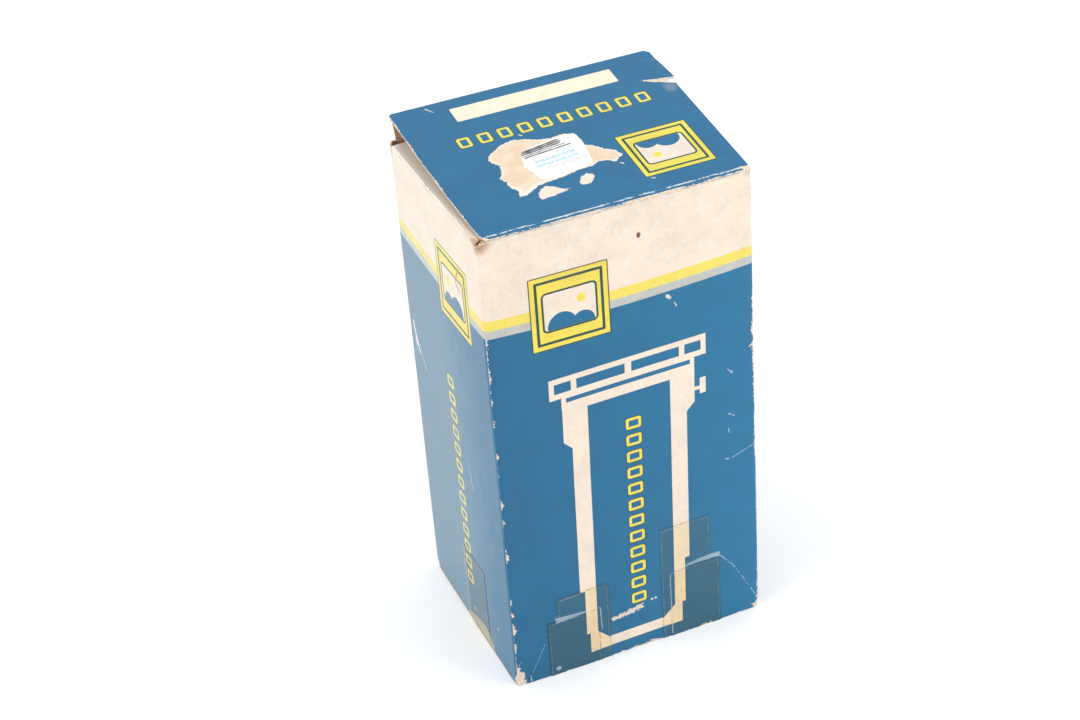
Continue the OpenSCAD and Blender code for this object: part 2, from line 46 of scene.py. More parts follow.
class Level:
    """A number that varies over a surface. Sums written with it add Math nodes to its finish."""

    def __init__(self, finish, socket):
        self.finish = finish
        self.socket = socket

    def sum(self, operation, *parts, clamp=False):
        settings = {"operation": operation}
        if clamp:
            settings["use_clamp"] = True
        return self.finish.node("Math", settings, dict(enumerate(parts)))

    def __add__(self, other):
        return self.sum("ADD", self, other)

    def __sub__(self, other):
        return self.sum("SUBTRACT", self, other)

    def __rsub__(self, other):
        return self.sum("SUBTRACT", other, self)

    def __mul__(self, other):
        return self.sum("MULTIPLY", self, other)

    def __truediv__(self, other):
        return self.sum("DIVIDE", self, other)

    def __neg__(self):
        return self.sum("MULTIPLY", self, -1)

    def __abs__(self):
        return self.sum("ABSOLUTE", self)

    __radd__ = __add__
    __rmul__ = __mul__

    def least(self, other):
        return self.sum("MINIMUM", self, other)

    def most(self, other):
        return self.sum("MAXIMUM", self, other)

    def beyond(self, other):
        """The length of the vector whose two parts are this number and the other."""
        return self.sum("SQRT", self * self + other * other)

    def edge(self, soft=0.1):
        """1 where the number is above 0 and 0 where it is below, with a soft step between."""
        return self.sum("MULTIPLY_ADD", self, 1 / soft, 0.5, clamp=True)


def greatest(level, *others):
    for other in others:
        level = level.most(other)
    return level


class Finish:
    """A material, or the room's sky, whose nodes are added one by one. Places are millimetres. It
    can start as a copy of another one, with all its nodes but the surface."""

    def __init__(self, name, sky=None, over=None):
        self.material = sky or (over.copy() if over else bpy.data.materials.new(name))
        self.material.name = name
        self.material.use_nodes = True
        self.tree = self.material.node_tree
        if over:
            self.output = self.tree.nodes["Material Output"]
            self.tree.nodes.remove(self.tree.nodes["Principled BSDF"])
        else:
            self.tree.nodes.clear()
            kind = "World" if sky else "Material"
            self.output = self.tree.nodes.new("ShaderNodeOutput" + kind)

    def node(self, kind, settings=(), inputs=(), output=0):
        """Adds a node, makes its settings, fills its sockets and gives back one of its outputs."""
        made = self.tree.nodes.new("ShaderNode" + kind)
        for name, value in dict(settings).items():
            if name == "stops":
                ramp = made.color_ramp.elements
                while len(ramp) < len(value):
                    ramp.new(0.5)
                for stop, (place, colour) in zip(ramp, value):
                    stop.position = place
                    stop.color = (*colour, 1)
            else:
                setattr(made, name, value)
        for name, value in dict(inputs).items():
            socket = made.inputs[name]
            if isinstance(value, Level):
                self.tree.links.new(value.socket, socket)
            elif isinstance(value, tuple) and len(value) == 3 and socket.type == "RGBA":
                socket.default_value = (*value, 1)
            else:
                socket.default_value = value
        return Level(self, made.outputs[output])

    def keep(self, name, level):
        """Names the node that makes a number or colour, for a copy of the finish to go on from."""
        level.socket.node.name = name
        return level

    def kept(self, name):
        return Level(self, next(end for end in self.tree.nodes[name].outputs if end.enabled))

    def show(self, surface):
        self.tree.links.new(surface.socket, self.output.inputs[0])
        return self.material

    def seen_directly(self):
        """1 where the camera sees it, itself or in a mirror or through glass."""
        rays = ("Camera", "Glossy", "Transmission")
        return greatest(*(self.node("LightPath", output="Is %s Ray" % ray) for ray in rays))

    def place(self):
        """The point on the piece, in millimetres of the shared frame."""
        point = self.node("TexCoord", output="Object")
        scaled = {0: point, "Scale": 1 / MM}
        return self.keep("place", self.node("VectorMath", {"operation": "SCALE"}, scaled))

    def axes(self, point):
        parts = self.tree.nodes.new("ShaderNodeSeparateXYZ")
        self.tree.links.new(point.socket, parts.inputs[0])
        return [Level(self, part) for part in parts.outputs]

    def point(self, x, y, z=0.0):
        return self.node("CombineXYZ", inputs={0: x, 1: y, 2: z})

    def stretched(self, point, *factors):
        return self.node("VectorMath", {"operation": "MULTIPLY"}, {0: point, 1: factors})

    def cloud(self, point, size, detail=3.0, rough=0.55):
        """Even noise from 0 to 1 whose lumps are about size millimetres across."""
        inputs = {"Vector": point, "Scale": 1 / size, "Detail": detail, "Roughness": rough}
        return self.node("TexNoise", inputs=inputs)

    def mix(self, mask, under, over, way="MIX"):
        settings = {"data_type": "RGBA", "blend_type": way}
        return self.node("Mix", settings, {0: mask, 6: under, 7: over}, output=2)

    def shine(self, **inputs):
        """The finish's surface: sockets of the shader by name, with _ for a blank."""
        named = {name.replace("_", " "): value for name, value in inputs.items()}
        return self.show(self.node("BsdfPrincipled", inputs=named))

    def relief(self, height, depth):
        """A bump of that depth in millimetres where height goes from 0 to 1."""
        return self.node("Bump", inputs={"Height": height, "Distance": depth * MM})


def put(piece, *materials):
    """Gives a piece its finishes, in the order of its material slots."""
    piece.data.materials.clear()
    for material in materials:
        piece.data.materials.append(material)


def only(piece):
    """Selects this piece alone."""
    for other in bpy.context.selected_objects:
        other.select_set(False)
    piece.select_set(True)
    bpy.context.view_layer.objects.active = piece


def added(name):
    """The primitive just added, under its own name."""
    piece = bpy.context.active_object
    piece.name = name
    piece.data.name = name
    only(piece)
    return piece


TABLE_WHITE = (0.9, 0.9, 0.9)
TABLE_GLOW = 0.27
SKY_LEVEL = 0.5

bpy.ops.object.select_all(action="DESELECT")
bpy.ops.mesh.primitive_plane_add(size=9, location=(0, 0, -0.02 * MM))
table = added("white_table")
table_top = Finish("table_top")
bare_table = table_top.node("BsdfDiffuse", inputs={"Color": TABLE_WHITE})
glow = table_top.node("Emission", inputs={"Color": (1.0, 0.995, 1.0), "Strength": TABLE_GLOW})
lit_table = table_top.node("AddShader", inputs={0: bare_table, 1: glow})
shown_table = {0: table_top.seen_directly(), 1: bare_table, 2: lit_table}
put(table, table_top.show(table_top.node("MixShader", inputs=shown_table)))

bpy.context.scene.world = bpy.data.worlds.new("white_room")
sky = Finish("white_room", bpy.context.scene.world)
level = sky.seen_directly() * (1 - SKY_LEVEL) + SKY_LEVEL
sky.show(sky.node("Background", inputs={"Color": (0.98, 0.99, 1.0), "Strength": level}))


def lamp(name, size, place, aim, power):
    """A square soft lamp at a place, turned to its aim."""
    light = bpy.data.lights.new(name, "AREA")
    light.shape = "SQUARE"
    light.size = size
    light.energy = power
    holder = bpy.data.objects.new(name, light)
    bpy.context.scene.collection.objects.link(holder)
    holder.location = place
    holder.rotation_euler = (Vector(aim) - Vector(place)).to_track_quat("-Z", "Y").to_euler()


lamp("top_softbox", 1.1, (0.1, 0.15, 1.5), (0, 0, 0.1), 8)
lamp("front_softbox", 0.45, (0.54, -0.6, 0.24), (0, 0, 0.07), 2.75)
lamp("left_softbox", 0.9, (-1.5, -0.25, 0.8), (0, 0, 0.08), 11)

CAMERA_AT = Vector((-185.74, -459.94, 402.99)) * MM
CAMERA_AIM = Vector((0.29638, 0.78141, -0.54915)).normalized()
CAMERA_ROLL = math.radians(4.544)
CAMERA_LENS = 74.87
camera_data = bpy.data.cameras.new("camera")
camera_data.lens = CAMERA_LENS
camera_data.sensor_width = 36
camera = bpy.data.objects.new("camera", camera_data)
bpy.context.scene.collection.objects.link(camera)
right = Matrix.Rotation(CAMERA_ROLL, 3, CAMERA_AIM) @ CAMERA_AIM.cross(Vector((0, 0, 1))).normalized()
upright = right.cross(CAMERA_AIM)
turn = Matrix((right, upright, -CAMERA_AIM)).transposed()
camera.matrix_world = Matrix.Translation(CAMERA_AT) @ turn.to_4x4()
bpy.context.scene.camera = camera
bpy.context.scene.view_settings.view_transform = "Standard"


# ---------- Carton walls ----------
# The four walls are one sheet of coated board, 0.55 thick, printed blue and cream outside and
# creased at the uprights. Here they are one bent sheet with handled corners and soft dents.

CARTON_W = 73.0
CARTON_D = 60.0
CARTON_H = 138.0
BOARD_T = 0.55
WALL_FOOT = 0.17
FRONT_TOP = 137.4
SIDE_TOP = 136.75
UPRIGHT_ROUND = 1.2
HALF_W = CARTON_W / 2
HALF_D = CARTON_D / 2

BLUE = (0.007, 0.15, 0.305)
CREAM = (0.94, 0.795, 0.66)
YELLOW = (0.94, 0.75, 0.105)
GREY = (0.51, 0.53, 0.50)
DARK_GREEN = (0.01, 0.075, 0.05)
RUST = (0.28, 0.12, 0.06)
YELLOW_TOP = 115.9
GREY_TOP = 113.1
BLUE_TOP = 110.8


def pick(piece, kind, rule):
    """Leaves the piece in edit mode with just the faces, edges or points that pass the rule
    selected. A face's rule is asked its middle and normal, an edge's its middle and its run, and
    a point's its place and normal, all in millimetres."""
    only(piece)
    bpy.ops.object.mode_set(mode="EDIT")
    bpy.ops.mesh.select_mode(type=kind)
    bpy.ops.mesh.select_all(action="DESELECT")
    bpy.ops.object.mode_set(mode="OBJECT")
    points = piece.data.vertices
    if kind == "FACE":
        for face in piece.data.polygons:
            face.select = rule(face.center / MM, face.normal)
    elif kind == "EDGE":
        for side in piece.data.edges:
            start, end = (points[i].co / MM for i in side.vertices)
            side.select = rule((start + end) / 2, end - start)
    else:
        for point in points:
            point.select = rule(point.co / MM, point.normal)
    bpy.ops.object.mode_set(mode="EDIT")


def done():
    bpy.ops.object.mode_set(mode="OBJECT")


def sliced(piece, axis, cuts):
    """Cuts the piece's faces across at each of those places along an axis."""
    only(piece)
    bpy.ops.object.mode_set(mode="EDIT")
    bpy.ops.mesh.select_mode(type="FACE")
    normal = [0.0, 0.0, 0.0]
    normal[axis] = 1.0
    for cut in cuts:
        place = [0.0, 0.0, 0.0]
        place[axis] = cut * MM
        bpy.ops.mesh.select_all(action="SELECT")
        bpy.ops.mesh.bisect(plane_co=place, plane_no=normal)
    done()


def applied(piece, kind, **settings):
    """Adds a modifier with those settings and applies it."""
    only(piece)
    modifier = piece.modifiers.new(kind.lower(), kind)
    for name, value in settings.items():
        setattr(modifier, name, value)
    bpy.ops.object.modifier_apply(modifier=modifier.name)


def smooth(piece, angle=32):
    only(piece)
    bpy.ops.object.shade_smooth_by_angle(angle=math.radians(angle))


def spread(low, high, step):
    """Places between low and high, a step or a little more apart."""
    count = int((high - low) / step)
    return [low + (high - low) * i / count for i in range(1, count)]


def box(u, v, left, right, low, high):
    """How far inside an upright box a point of the print lies; below 0 is outside."""
    across = (right - left) / 2 - abs(u - (left + right) / 2)
    along = (high - low) / 2 - abs(v - (low + high) / 2)
    return across.least(along)


def round_box(u, v, half_u, half_v, r):
    """How far inside a box with round corners, centred at 0, a point of the print lies."""
    over_u = abs(u) - (half_u - r)
    over_v = abs(v) - (half_v - r)
    return r - over_u.most(0).beyond(over_v.most(0)) - over_u.most(over_v).least(0)


def badge(f, ink, u, v):
    """A picture sign, centred at 0: a yellow mount with a green frame round a small landscape."""
    half = 10.6
    mount = round_box(u, v, half, half, 0.35)
    ink = f.mix(mount.edge(), ink, DARK_GREEN)
    ink = f.mix((mount - 0.3).edge(), ink, YELLOW)
    frame_in = round_box(u, v, half - 1.5, half - 1.5, 0.3)
    ink = f.mix(frame_in.edge() * (0.75 - frame_in).edge(), ink, DARK_GREEN)
    window = round_box(u, v, 6.9, 5.2, 0.9)
    ink = f.mix((window + 0.55).edge(), ink, DARK_GREEN)
    ink = f.mix(window.edge(), ink, CREAM)
    hill = 3.9 - (u + 2.2).beyond(v + 4.6)
    far_hill = 3.1 - (u - 3.4).beyond(v + 5.0)
    ink = f.mix(window.edge() * hill.most(far_hill).edge(), ink, BLUE)
    sun = 1.25 - (u - 3.2).beyond(v - 1.9)
    return f.mix(sun.edge(), ink, YELLOW)


def perforations(f, ink, across, along, middle, low, high):
    """A row of hollow marks, as at the edge of a film: across is their width's direction."""
    pitch = (high - low) / round((high - low) / 5.2)
    cell = abs(f.node("Math", {"operation": "FLOORED_MODULO"}, {0: along - low, 1: pitch}) - pitch / 2)
    mark = round_box(across - middle, cell, 2.15, 1.7, 0.7)
    ends = box(across, along, middle - 4, middle + 4, low, high).edge()
    ink = f.mix((mark + 0.22).edge() * ends, ink, DARK_GREEN)
    ring = mark.edge() * (0.78 - mark).edge()
    ink = f.mix((mark - 0.56).edge() * ends, ink, BLUE)
    return f.mix(ring * ends, ink, YELLOW)


def outline(f, ink, across, up):
    """A section through the duplicator, in cream: slide stage, head, tube and stepped end."""
    level = up - 0.018 * (across - 37)
    x = across - 37.2 + 0.018 * (90 - up)
    s = abs(x)
    plate = box(x, level, -21.7, 21.7, 88.0, 94.1)
    inner = box(s, level, 0.9, 14.2, 89.6, 92.5).most(box(s, level, 15.7, 20.3, 89.6, 92.5))
    lines = plate.least(-inner)
    collar = box(x, level, -18.5, 18.4, 84.5, 89.0).least(-box(x, level, -17.2, 17.2, 86.3, 87.6))
    head = box(x, level, -18.4, 18.4, 72.0, 86.0).least((level - 72.2) - (s - 16.2))
    tube = box(x, level, -16.1, 16.1, 25.2, 76.0)
    foot = box(x, level, -14.7, 14.7, 10.6, 26.0).most(box(x, level, -13.7, 13.7, 4.0, 12.0))
    hollow = box(x, level, -11.5, 11.5, 7.2, 83.4).least((level - 7.2) + 8.2 - s)
    body = head.most(tube).most(foot).least(-hollow)
    knob = box(x, level, 19.9, 21.6, 76.3, 81.1).most(box(x, level, 18.0, 20.2, 77.7, 78.8))
    return f.mix(lines.most(collar).most(body).most(knob).edge(), ink, CREAM)


def wall_ink(f, across, up, wide):
    """A wall's print as a colour. The wide walls carry the outline, and their blue is painted a
    little lighter towards the right, as painted light for a lamp's falloff; across is 0 at their
    left edge, and on the narrow walls at the edge that the sign stands near."""
    # Painted light: on the wide walls the blue grows lighter from left to right, a painted lamp
    # falloff.
    blue = f.mix(across / CARTON_W, (0.005, 0.132, 0.275), (0.01, 0.17, 0.34)) if wide else BLUE
    middle, rise, bend = (33, 1.2, 0.001) if wide else (27, 0.8, 0.0013)
    band = up + rise - (across - middle) * (across - middle) * bend
    rubbed = (f.cloud(f.point(across * 0.3, up), 0.8, 3) - 0.5).edge(0.3)
    yellow = f.mix(rubbed * 0.25, YELLOW, (0.94, 0.78, 0.35))
    grey = f.mix(rubbed * 0.3, GREY, (0.72, 0.70, 0.62))
    ink = f.mix((YELLOW_TOP - band).edge(0.3), CREAM, yellow)
    ink = f.mix((GREY_TOP - band).edge(0.3), ink, grey)
    ink = f.mix((BLUE_TOP - band).edge(0.2), ink, blue)
    if wide:
        ink = outline(f, ink, across, up)
        ink = badge(f, ink, across - 22.7, up - 113.4)
        ink = perforations(f, ink, across + 0.018 * (90 - up), up, 38.2, 14.6, 76.4)
    else:
        up = up + across * 0.016
        ink = badge(f, ink, across - 20.6, up - 113.7)
        ink = perforations(f, ink, across, up, 29.9, 14.6, 84.4)
    return ink


def scratch(u, v, start, end, width, waver):
    """A wavering line from start to end on the print, 1 in its middle."""
    run = Vector(end) - Vector(start)
    length = run.length
    along = ((u - start[0]) * run.x + (v - start[1]) * run.y) / length
    beside = abs((v - start[1]) * run.x - (u - start[0]) * run.y) / length
    over = (-along).most(along - length).most(0)
    return (width * waver - beside.beyond(over)).edge(0.12)


def scratches(u, v, waver, *lines):
    """Several such lines, each given by its start, its end and its width."""
    return greatest(*(scratch(u, v, start, end, width, waver) for start, end, width in lines))


def scratch_waver(f, point):
    """How wide a scratch is along its run, as a share; below 0 it is broken."""
    return f.cloud(point, 0.7, 3) * 3.2 - 0.75


def worn_edge(f, point, away, reach, amount):
    """Small chips of bare board along an edge; away is the distance from it."""
    chips = f.cloud(point, 1.0, 4, 0.7)
    runs = f.cloud(point, 8, 2)
    height = (chips - 0.5) * 4.2 + (runs - 0.5) * 4.4 + (amount - away / reach)
    return height.edge(0.2)


def crushed(f, point, away, reach, amount):
    """The larger patch of bare board on a crushed corner."""
    torn = f.cloud(point, 2.1, 5, 0.62)
    return ((torn - 0.5) * 3.2 + (amount - away / reach)).edge(0.16)


def aged_card(f, point, ink, dark, light, *plies):
    """A print toned from dark to light by age, and the bare plies that show where it has gone.
    Gives the fleck, cloud and grain that made them as well."""
    fleck = f.cloud(point, 0.5, 2)
    cloudy = f.cloud(point, 9, 5, 0.62)
    grain = f.cloud(point, 0.9, 4, 0.75)
    bare = f.mix((fleck - 0.3) * 2.2, *plies)
    tone = (cloudy * 0.8 + grain * 0.7 - 0.53) * 2.2
    aged = f.mix(1.0, ink, f.mix(tone, dark, light), "MULTIPLY")
    return aged, bare, fleck, cloudy, grain


def printed(f, ink, wear, point, pale=None):
    """The coated print with its wear: bare board shows through where wear is 1, and where a film
    has lifted from it, it is pale."""
    aged, bare, fleck, cloudy, grain = aged_card(
        f, point, ink, (0.86, 0.88, 0.90), (1.09, 1.07, 1.05), (0.70, 0.50, 0.37), (0.95, 0.90, 0.82)
    )
    speck = (f.cloud(point, 1.3, 2) - 0.745).edge(0.03)
    aged = f.mix(speck * 0.3, aged, (0.12, 0.06, 0.035))
    colour = f.keep("worn_print", f.mix(wear, aged, bare))
    rough = 0.33 + (cloudy - 0.5) * 0.16 + (grain - 0.5) * 0.1 + wear * 0.5
    height = f.cloud(point, 9, 2) * 0.5 + grain * 0.1 - wear * (0.35 + fleck * 0.3)
    if pale:
        f.keep("lifted_film", pale)
        return filmed(f, pale, colour, rough, height)
    return coated(f, colour, rough, height)


def coated(f, colour, rough, height, depth=0.08):
    """The gloss that every printed face and every tape has."""
    bumps = f.relief(height, depth)
    return f.shine(
        Base_Color=colour, Roughness=rough, Normal=bumps, IOR=1.5, Specular_IOR_Level=0.4
    )


def filmed(f, pale, colour, rough, height):
    """A coated face where a film that has lifted makes it pale."""
    return coated(f, f.mix(pale, colour, (0.64, 0.75, 0.80)), rough + pale * 0.2, height + pale * 0.6)


CREASE_CHIPS = (
    (109.4, 1.3), (98.0, 2.8), (92.2, 1.5), (86.2, 1.3), (75.7, 1.5), (60.5, 1.8), (55.0, 1.8),
    (44.3, 2.4), (28.6, 1.6), (24.6, 1.0), (19.5, 2.4), (13.8, 3.2), (5.5, 4.5),
)


def crease_chips(f, point, away, z):
    """Chips at known heights along the upright crease between the front and the left wall."""
    chipped = z * 0 - 1
    for height, half in CREASE_CHIPS:
        chipped = chipped.most(0.8 - abs(z - height) / half)
    return worn_edge(f, point, away, 0.55, chipped)


def lifted_film(f, point, across, z, waver):
    """Pale places on the front's tapes: a wedge over the left patch, an arch on the right one, the
    patches' inner edges and a bubble."""
    ragged = f.cloud(point, 1.0, 4, 0.7) - 0.5
    patchy = f.cloud(point, 2.5, 4, 0.65)
    begun = across - 12.4
    wedge = (19.15 - begun * 0.085 - z).least(z - 17.4 - begun * 0.06)
    wedge = wedge.least(begun.least(21.8 - across))
    pale = (wedge + ragged * 0.3).edge(0.25) * (0.3 + patchy * 0.35)
    crown = 0.15 + (across - 46) * 0.045 - abs(z - 23.1 + (across - 57) * (across - 57) * 0.0148)
    crown = (crown + ragged * 0.5).edge(0.3) * (across - 46).least(61.2 - across).edge(0.3)
    pale = pale.most(crown * (0.12 + patchy * 0.3 + (across - 46) * 0.016))
    for start, end, width, strong in (
        ((21.2, 18.3), (25.3, 18.0), 0.09, 0.4), ((25.3, 18.0), (25.6, 10.3), 0.16, 0.5),
        ((46.1, 21.4), (46.2, 1.0), 0.15, 0.5), ((14.0, 24.4), (19.0, 24.6), 0.1, 0.35),
        ((44.0, 36.2), (49.5, 36.5), 0.09, 0.3),
    ):
        pale = pale.most(scratch(across, z, start, end, width, waver) * strong)
    bubble = (0.72 - (across - 12.2).beyond(z - 2.0) + ragged * 0.5).edge(0.3)
    return pale.most(bubble * 0.5)


def front_finish(name):
    f = Finish(name)
    point = f.place()
    x, _, z = f.axes(point)
    across = x + HALF_W
    right = CARTON_W - across
    waver = scratch_waver(f, point)
    ragged = f.cloud(point, 1.0, 4, 0.7) - 0.5
    torn_line = box(across, z - 0.17 * (across - 33), 28.6, 38.0, 12.2, 13.9)
    wear = greatest(
        crease_chips(f, point, abs(across - 0.4), z),
        worn_edge(f, point, across, 0.5, -0.5),
        worn_edge(f, point, right, 0.5, (1 - abs(z - 91) / 15).most(0) * 1.3 + 0.55),
        worn_edge(f, point, abs(z - 137.25), 0.4, 0.2),
        worn_edge(f, point, z, 0.6, (1 - abs(across - 36) / 9).most(0) * 1.2 - 0.1),
        crushed(f, point, across.beyond(z * 0.35), 1.7, 1.4),
        crushed(f, point, right.beyond(z * 0.5), 1.6, 1.2),
        crushed(f, point, right.beyond(z - FRONT_TOP), 1.3, 1.3),
        scratches(
            across, z, waver,
            ((48.6, 108.8), (49.6, 107.7), 0.4), ((50.7, 106.1), (51.3, 104.9), 0.15),
            ((71.2, 86.5), (72.6, 87.3), 0.22), ((4.1, 2.4), (4.3, 0.2), 0.12),
        ),
        (torn_line * 0.7 + ragged * 3.4 - 0.1).edge(0.15) * (torn_line + 0.2).edge(0.3),
        *((0.36 - (across - dot).beyond(z - 15.0)).edge(0.15) for dot in (40.6, 41.7)),
    )
    broken = (f.cloud(point, 1.1, 3) - 0.52).edge(0.2)
    folded = scratches(
        across, z, waver,
        ((61.3, 22.3), (65.2, 17.3), 0.2), ((65.2, 17.3), (67.2, 13.7), 0.16),
        ((67.2, 13.7), (71.6, 5.0), 0.14),
    )
    scraped = scratches(
        across, z, waver,
        ((72.4, 55.7), (65.7, 53.3), 0.13), ((64.8, 81.8), (65.9, 80.4), 0.12),
        ((65.6, 80.9), (66.1, 80.3), 0.3), ((64.8, 67.7), (66.6, 66.5), 0.15),
        ((64.8, 63.2), (65.0, 61.6), 0.12), ((63.6, 53.5), (64.6, 53.4), 0.18),
    )
    faint = scratch(across, z, (4.8, 3.5), (8.9, 11.5), 0.16, waver)
    ink = wall_ink(f, across, z, True)
    ink = f.mix((z - 137.3 + ragged * 0.9).edge(0.2), ink, BLUE)
    ink = f.mix(greatest(folded * broken, scraped * 0.9, faint * 0.3) * 0.7, ink, (0.62, 0.74, 0.80))
    stain = (0.55 - (across - 41.8).beyond((z - 128.1) * 0.7)).edge(0.2)
    ink = f.mix(stain, ink, (0.16, 0.05, 0.03))
    folds = f.cloud(point, 0.9, 4, 0.7)
    rust = (1.9 - across.beyond((z - 137.5) * 1.3) / 1.9 + (folds - 0.5) * 3.5).edge(1.2)
    ink = f.mix(rust * 0.9, ink, f.mix((folds - 0.35) * 3, RUST, (0.78, 0.52, 0.36)))
    smudge = (f.cloud(point, 4, 5, 0.7) - 0.56).edge(0.14) * (z - YELLOW_TOP).edge(3)
    ink = f.mix(smudge * 0.1, ink, (0.42, 0.30, 0.20))
    return printed(f, ink, wear, point, lifted_film(f, point, across, z, waver))


def left_finish(name):
    f = Finish(name)
    point = f.place()
    _, y, z = f.axes(point)
    across = y + HALF_D
    back = CARTON_D - across
    waver = scratch_waver(f, point)
    wear = greatest(
        crease_chips(f, point, across + 0.2, z),
        worn_edge(f, point, back, 0.5, -0.3),
        worn_edge(f, point, z, 0.5, -0.2),
        crushed(f, point, across.beyond(z * 0.5), 1.5, 1.2),
    )
    ink = wall_ink(f, across, z, False)
    blotch = f.cloud(f.point(across, z * 0.35), 3, 5, 0.65) - 0.5
    # Paler, greyer blue growing towards the back: partly fading, partly painted sheen for the glare
    # that coated board shows at a grazing view.
    fade_and_sheen = f.keep("fade_and_sheen", (0.02 + (across - 20 + blotch * 30).edge(24) * 0.14) * 1.0)
    ink = f.mix(fade_and_sheen, ink, (0.84, 0.92, 0.80))
    inset = ((across - 21) / 16).most((21 - across) / 5.8)
    lens = 5.3 - inset * inset * 5.3 - z + blotch
    bared = f.mix(f.cloud(point, 1.2, 4), (0.38, 0.37, 0.27), (0.66, 0.63, 0.50))
    ink = f.mix(lens.edge(0.3) * 0.9, ink, bared)
    ink = f.mix((0.2 - abs(lens)).edge(0.2) * 0.5, ink, (0.06, 0.05, 0.04))
    # A dark brown band along the wall's bottom edge, within about half a millimetre of the foot.
    dark_foot_band = (0.55 - z + blotch * 1.6).edge(0.3) * (across - 1.5).edge(1)
    ink = f.mix(dark_foot_band * 0.85, ink, (0.20, 0.10, 0.055))
    for spot, size in (((28.6, 6.6), 0.65), ((11.3, 11.9), 0.45), ((27.2, 6.2), 0.3)):
        dot = (size - (across - spot[0]).beyond(z - spot[1]) + blotch).edge(0.4)
        ink = f.mix(dot * 0.7, ink, (0.80, 0.84, 0.82))
    for line in (
        ((56.3, 85.0), (54.6, 79.0), 0.75), ((55.2, 81.5), (53.4, 77.0), 0.6),
        ((53.4, 77.6), (49.6, 73.5), 0.2), ((56.0, 80.0), (55.4, 76.5), 0.3),
        ((22.0, 60.0), (20.5, 52.0), 0.1), ((33.0, 44.0), (31.5, 40.0), 0.1),
    ):
        ink = f.mix(scratch(across, z, *line, waver) * 0.8, ink, (0.88, 0.90, 0.88))
    stain = f.cloud(point, 1.6, 4, 0.7) * 0.9 + 0.3
    folds = f.cloud(point, 0.9, 4, 0.7)
    rust = greatest(
        scratches(
            across, z, stain,
            ((15.1, 123.0), (18.3, 118.0), 0.45), ((18.3, 118.0), (15.8, 116.0), 0.5),
        ),
        (1.6 - across.beyond((z - 137) * 1.2) / 1.7 + (folds - 0.5) * 3.5).edge(1.2),
        (1.4 - back.beyond((z - 137) * 0.8) / 1.5 + (folds - 0.5) * 3).edge(1.2),
        worn_edge(f, point, abs(z - 136.7), 0.4, 0.1) * 0.5,
    )
    ink = f.mix(rust * 0.85, ink, f.mix((folds - 0.35) * 3, RUST, (0.70, 0.42, 0.26)))
    return printed(f, ink, wear, point)


def plain_wall_finish(name, wide):
    """The right and back walls, which carry the same prints as the left and the front."""
    f = Finish(name)
    point = f.place()
    x, y, z = f.axes(point)
    across = HALF_W - x if wide else y + HALF_D
    width, top = (CARTON_W, FRONT_TOP) if wide else (CARTON_D, 136.8)
    reach = abs(across - width / 2)
    wear = greatest(
        worn_edge(f, point, width / 2 - reach, 0.55, -0.2),
        worn_edge(f, point, z, 0.6, 0.1),
        worn_edge(f, point, abs(z - top), 0.5, 0.3),
        crushed(f, point, (width / 2 - reach).beyond(z), 2.0, 1.2),
    )
    return printed(f, wall_ink(f, across, z, wide), wear, point)


def board_finish(name, light, dark):
    """Bare grey-brown board: matted fibres, darker flecks, rough to the touch."""
    f = Finish(name)
    point = f.place()
    stretched = f.stretched(point, 1.0, 1.0, 0.35)
    fibre = f.cloud(stretched, 0.45, 4, 0.7)
    lumps = f.cloud(point, 6, 3)
    fleck = (f.cloud(stretched, 0.9, 2) - 0.66).edge(0.08)
    colour = f.mix(fibre * 0.6 + lumps * 0.4, dark, light)
    colour = f.mix(fleck * 0.45, colour, (0.16, 0.1, 0.06))
    return f.shine(Base_Color=colour, Roughness=0.86, Normal=f.relief(fibre + lumps * 0.4, 0.07))


inner_board = board_finish("inner_board", (0.52, 0.345, 0.23), (0.33, 0.195, 0.125))
cut_edge = board_finish("cut_edge", (0.66, 0.50, 0.36), (0.36, 0.21, 0.12))

bpy.ops.mesh.primitive_cube_add(size=1, location=(0, 0, (WALL_FOOT + FRONT_TOP) / 2 * MM))
walls = added("carton_walls")
walls.scale = (CARTON_W * MM, CARTON_D * MM, (FRONT_TOP - WALL_FOOT) * MM)
bpy.ops.object.transform_apply()
pick(walls, "FACE", lambda at, normal: abs(normal.z) > 0.5)
bpy.ops.mesh.delete(type="FACE")
done()
pick(walls, "EDGE", lambda at, run: abs(run.z) > 10)
bpy.ops.mesh.bevel(offset=UPRIGHT_ROUND * MM, segments=6)
done()
pick(walls, "VERT", lambda at, normal: at.z > 137 and abs(at.y) < HALF_D - 0.3)
bpy.ops.transform.translate(value=(0, 0, (SIDE_TOP - FRONT_TOP) * MM))
done()
sliced(walls, 2, [0.9, 1.8, 3.0] + spread(4, 134, 2.6) + [134.6, 135.8, 136.6, 137.2])
sliced(walls, 0, spread(-35, 35, 3.2) + [-35.4, -35.0, 35.4])
sliced(walls, 1, spread(-28.6, 28.6, 3.2) + [-29, -28.6, 27.2, 29])
# The top edges reach in under the folded panels, so that no slit shows at an open crease.
TUCKED_UNDER = 0.5
for rule, inward in (
    (lambda at, normal: at.z > FRONT_TOP - 0.05 and at.y < -29.7 and -35.1 < at.x < 35.45, (0, 0.12)),
    (lambda at, normal: at.z > SIDE_TOP - 0.05 and at.x < -36.4 and -28.7 < at.y < 27.3, (0.25, 0)),
    (lambda at, normal: at.z > SIDE_TOP - 0.05 and at.x > 36.4 and -28.7 < at.y < 27.3, (-0.25, 0)),
):
    pick(walls, "VERT", rule)
    bpy.ops.transform.translate(value=(inward[0] * MM, inward[1] * MM, TUCKED_UNDER * MM))
    done()

CRUSHED = [
    ((-36.5, -30, 0), 4.5, 0.3),
    ((36.5, -30, 0), 4.0, 0.5),
    ((-36.5, 30, 0), 4.0, 0.6),
    ((36.5, 30, 0), 4.0, 0.5),
    ((-36.5, -30, 137.4), 3.5, 0.6),
    ((36.5, -30, 137.4), 3.0, 0.4),
    ((-36.5, -30, 52), 3.0, 0.25),
    ((36.5, -30, 63), 3.5, 0.3),
]


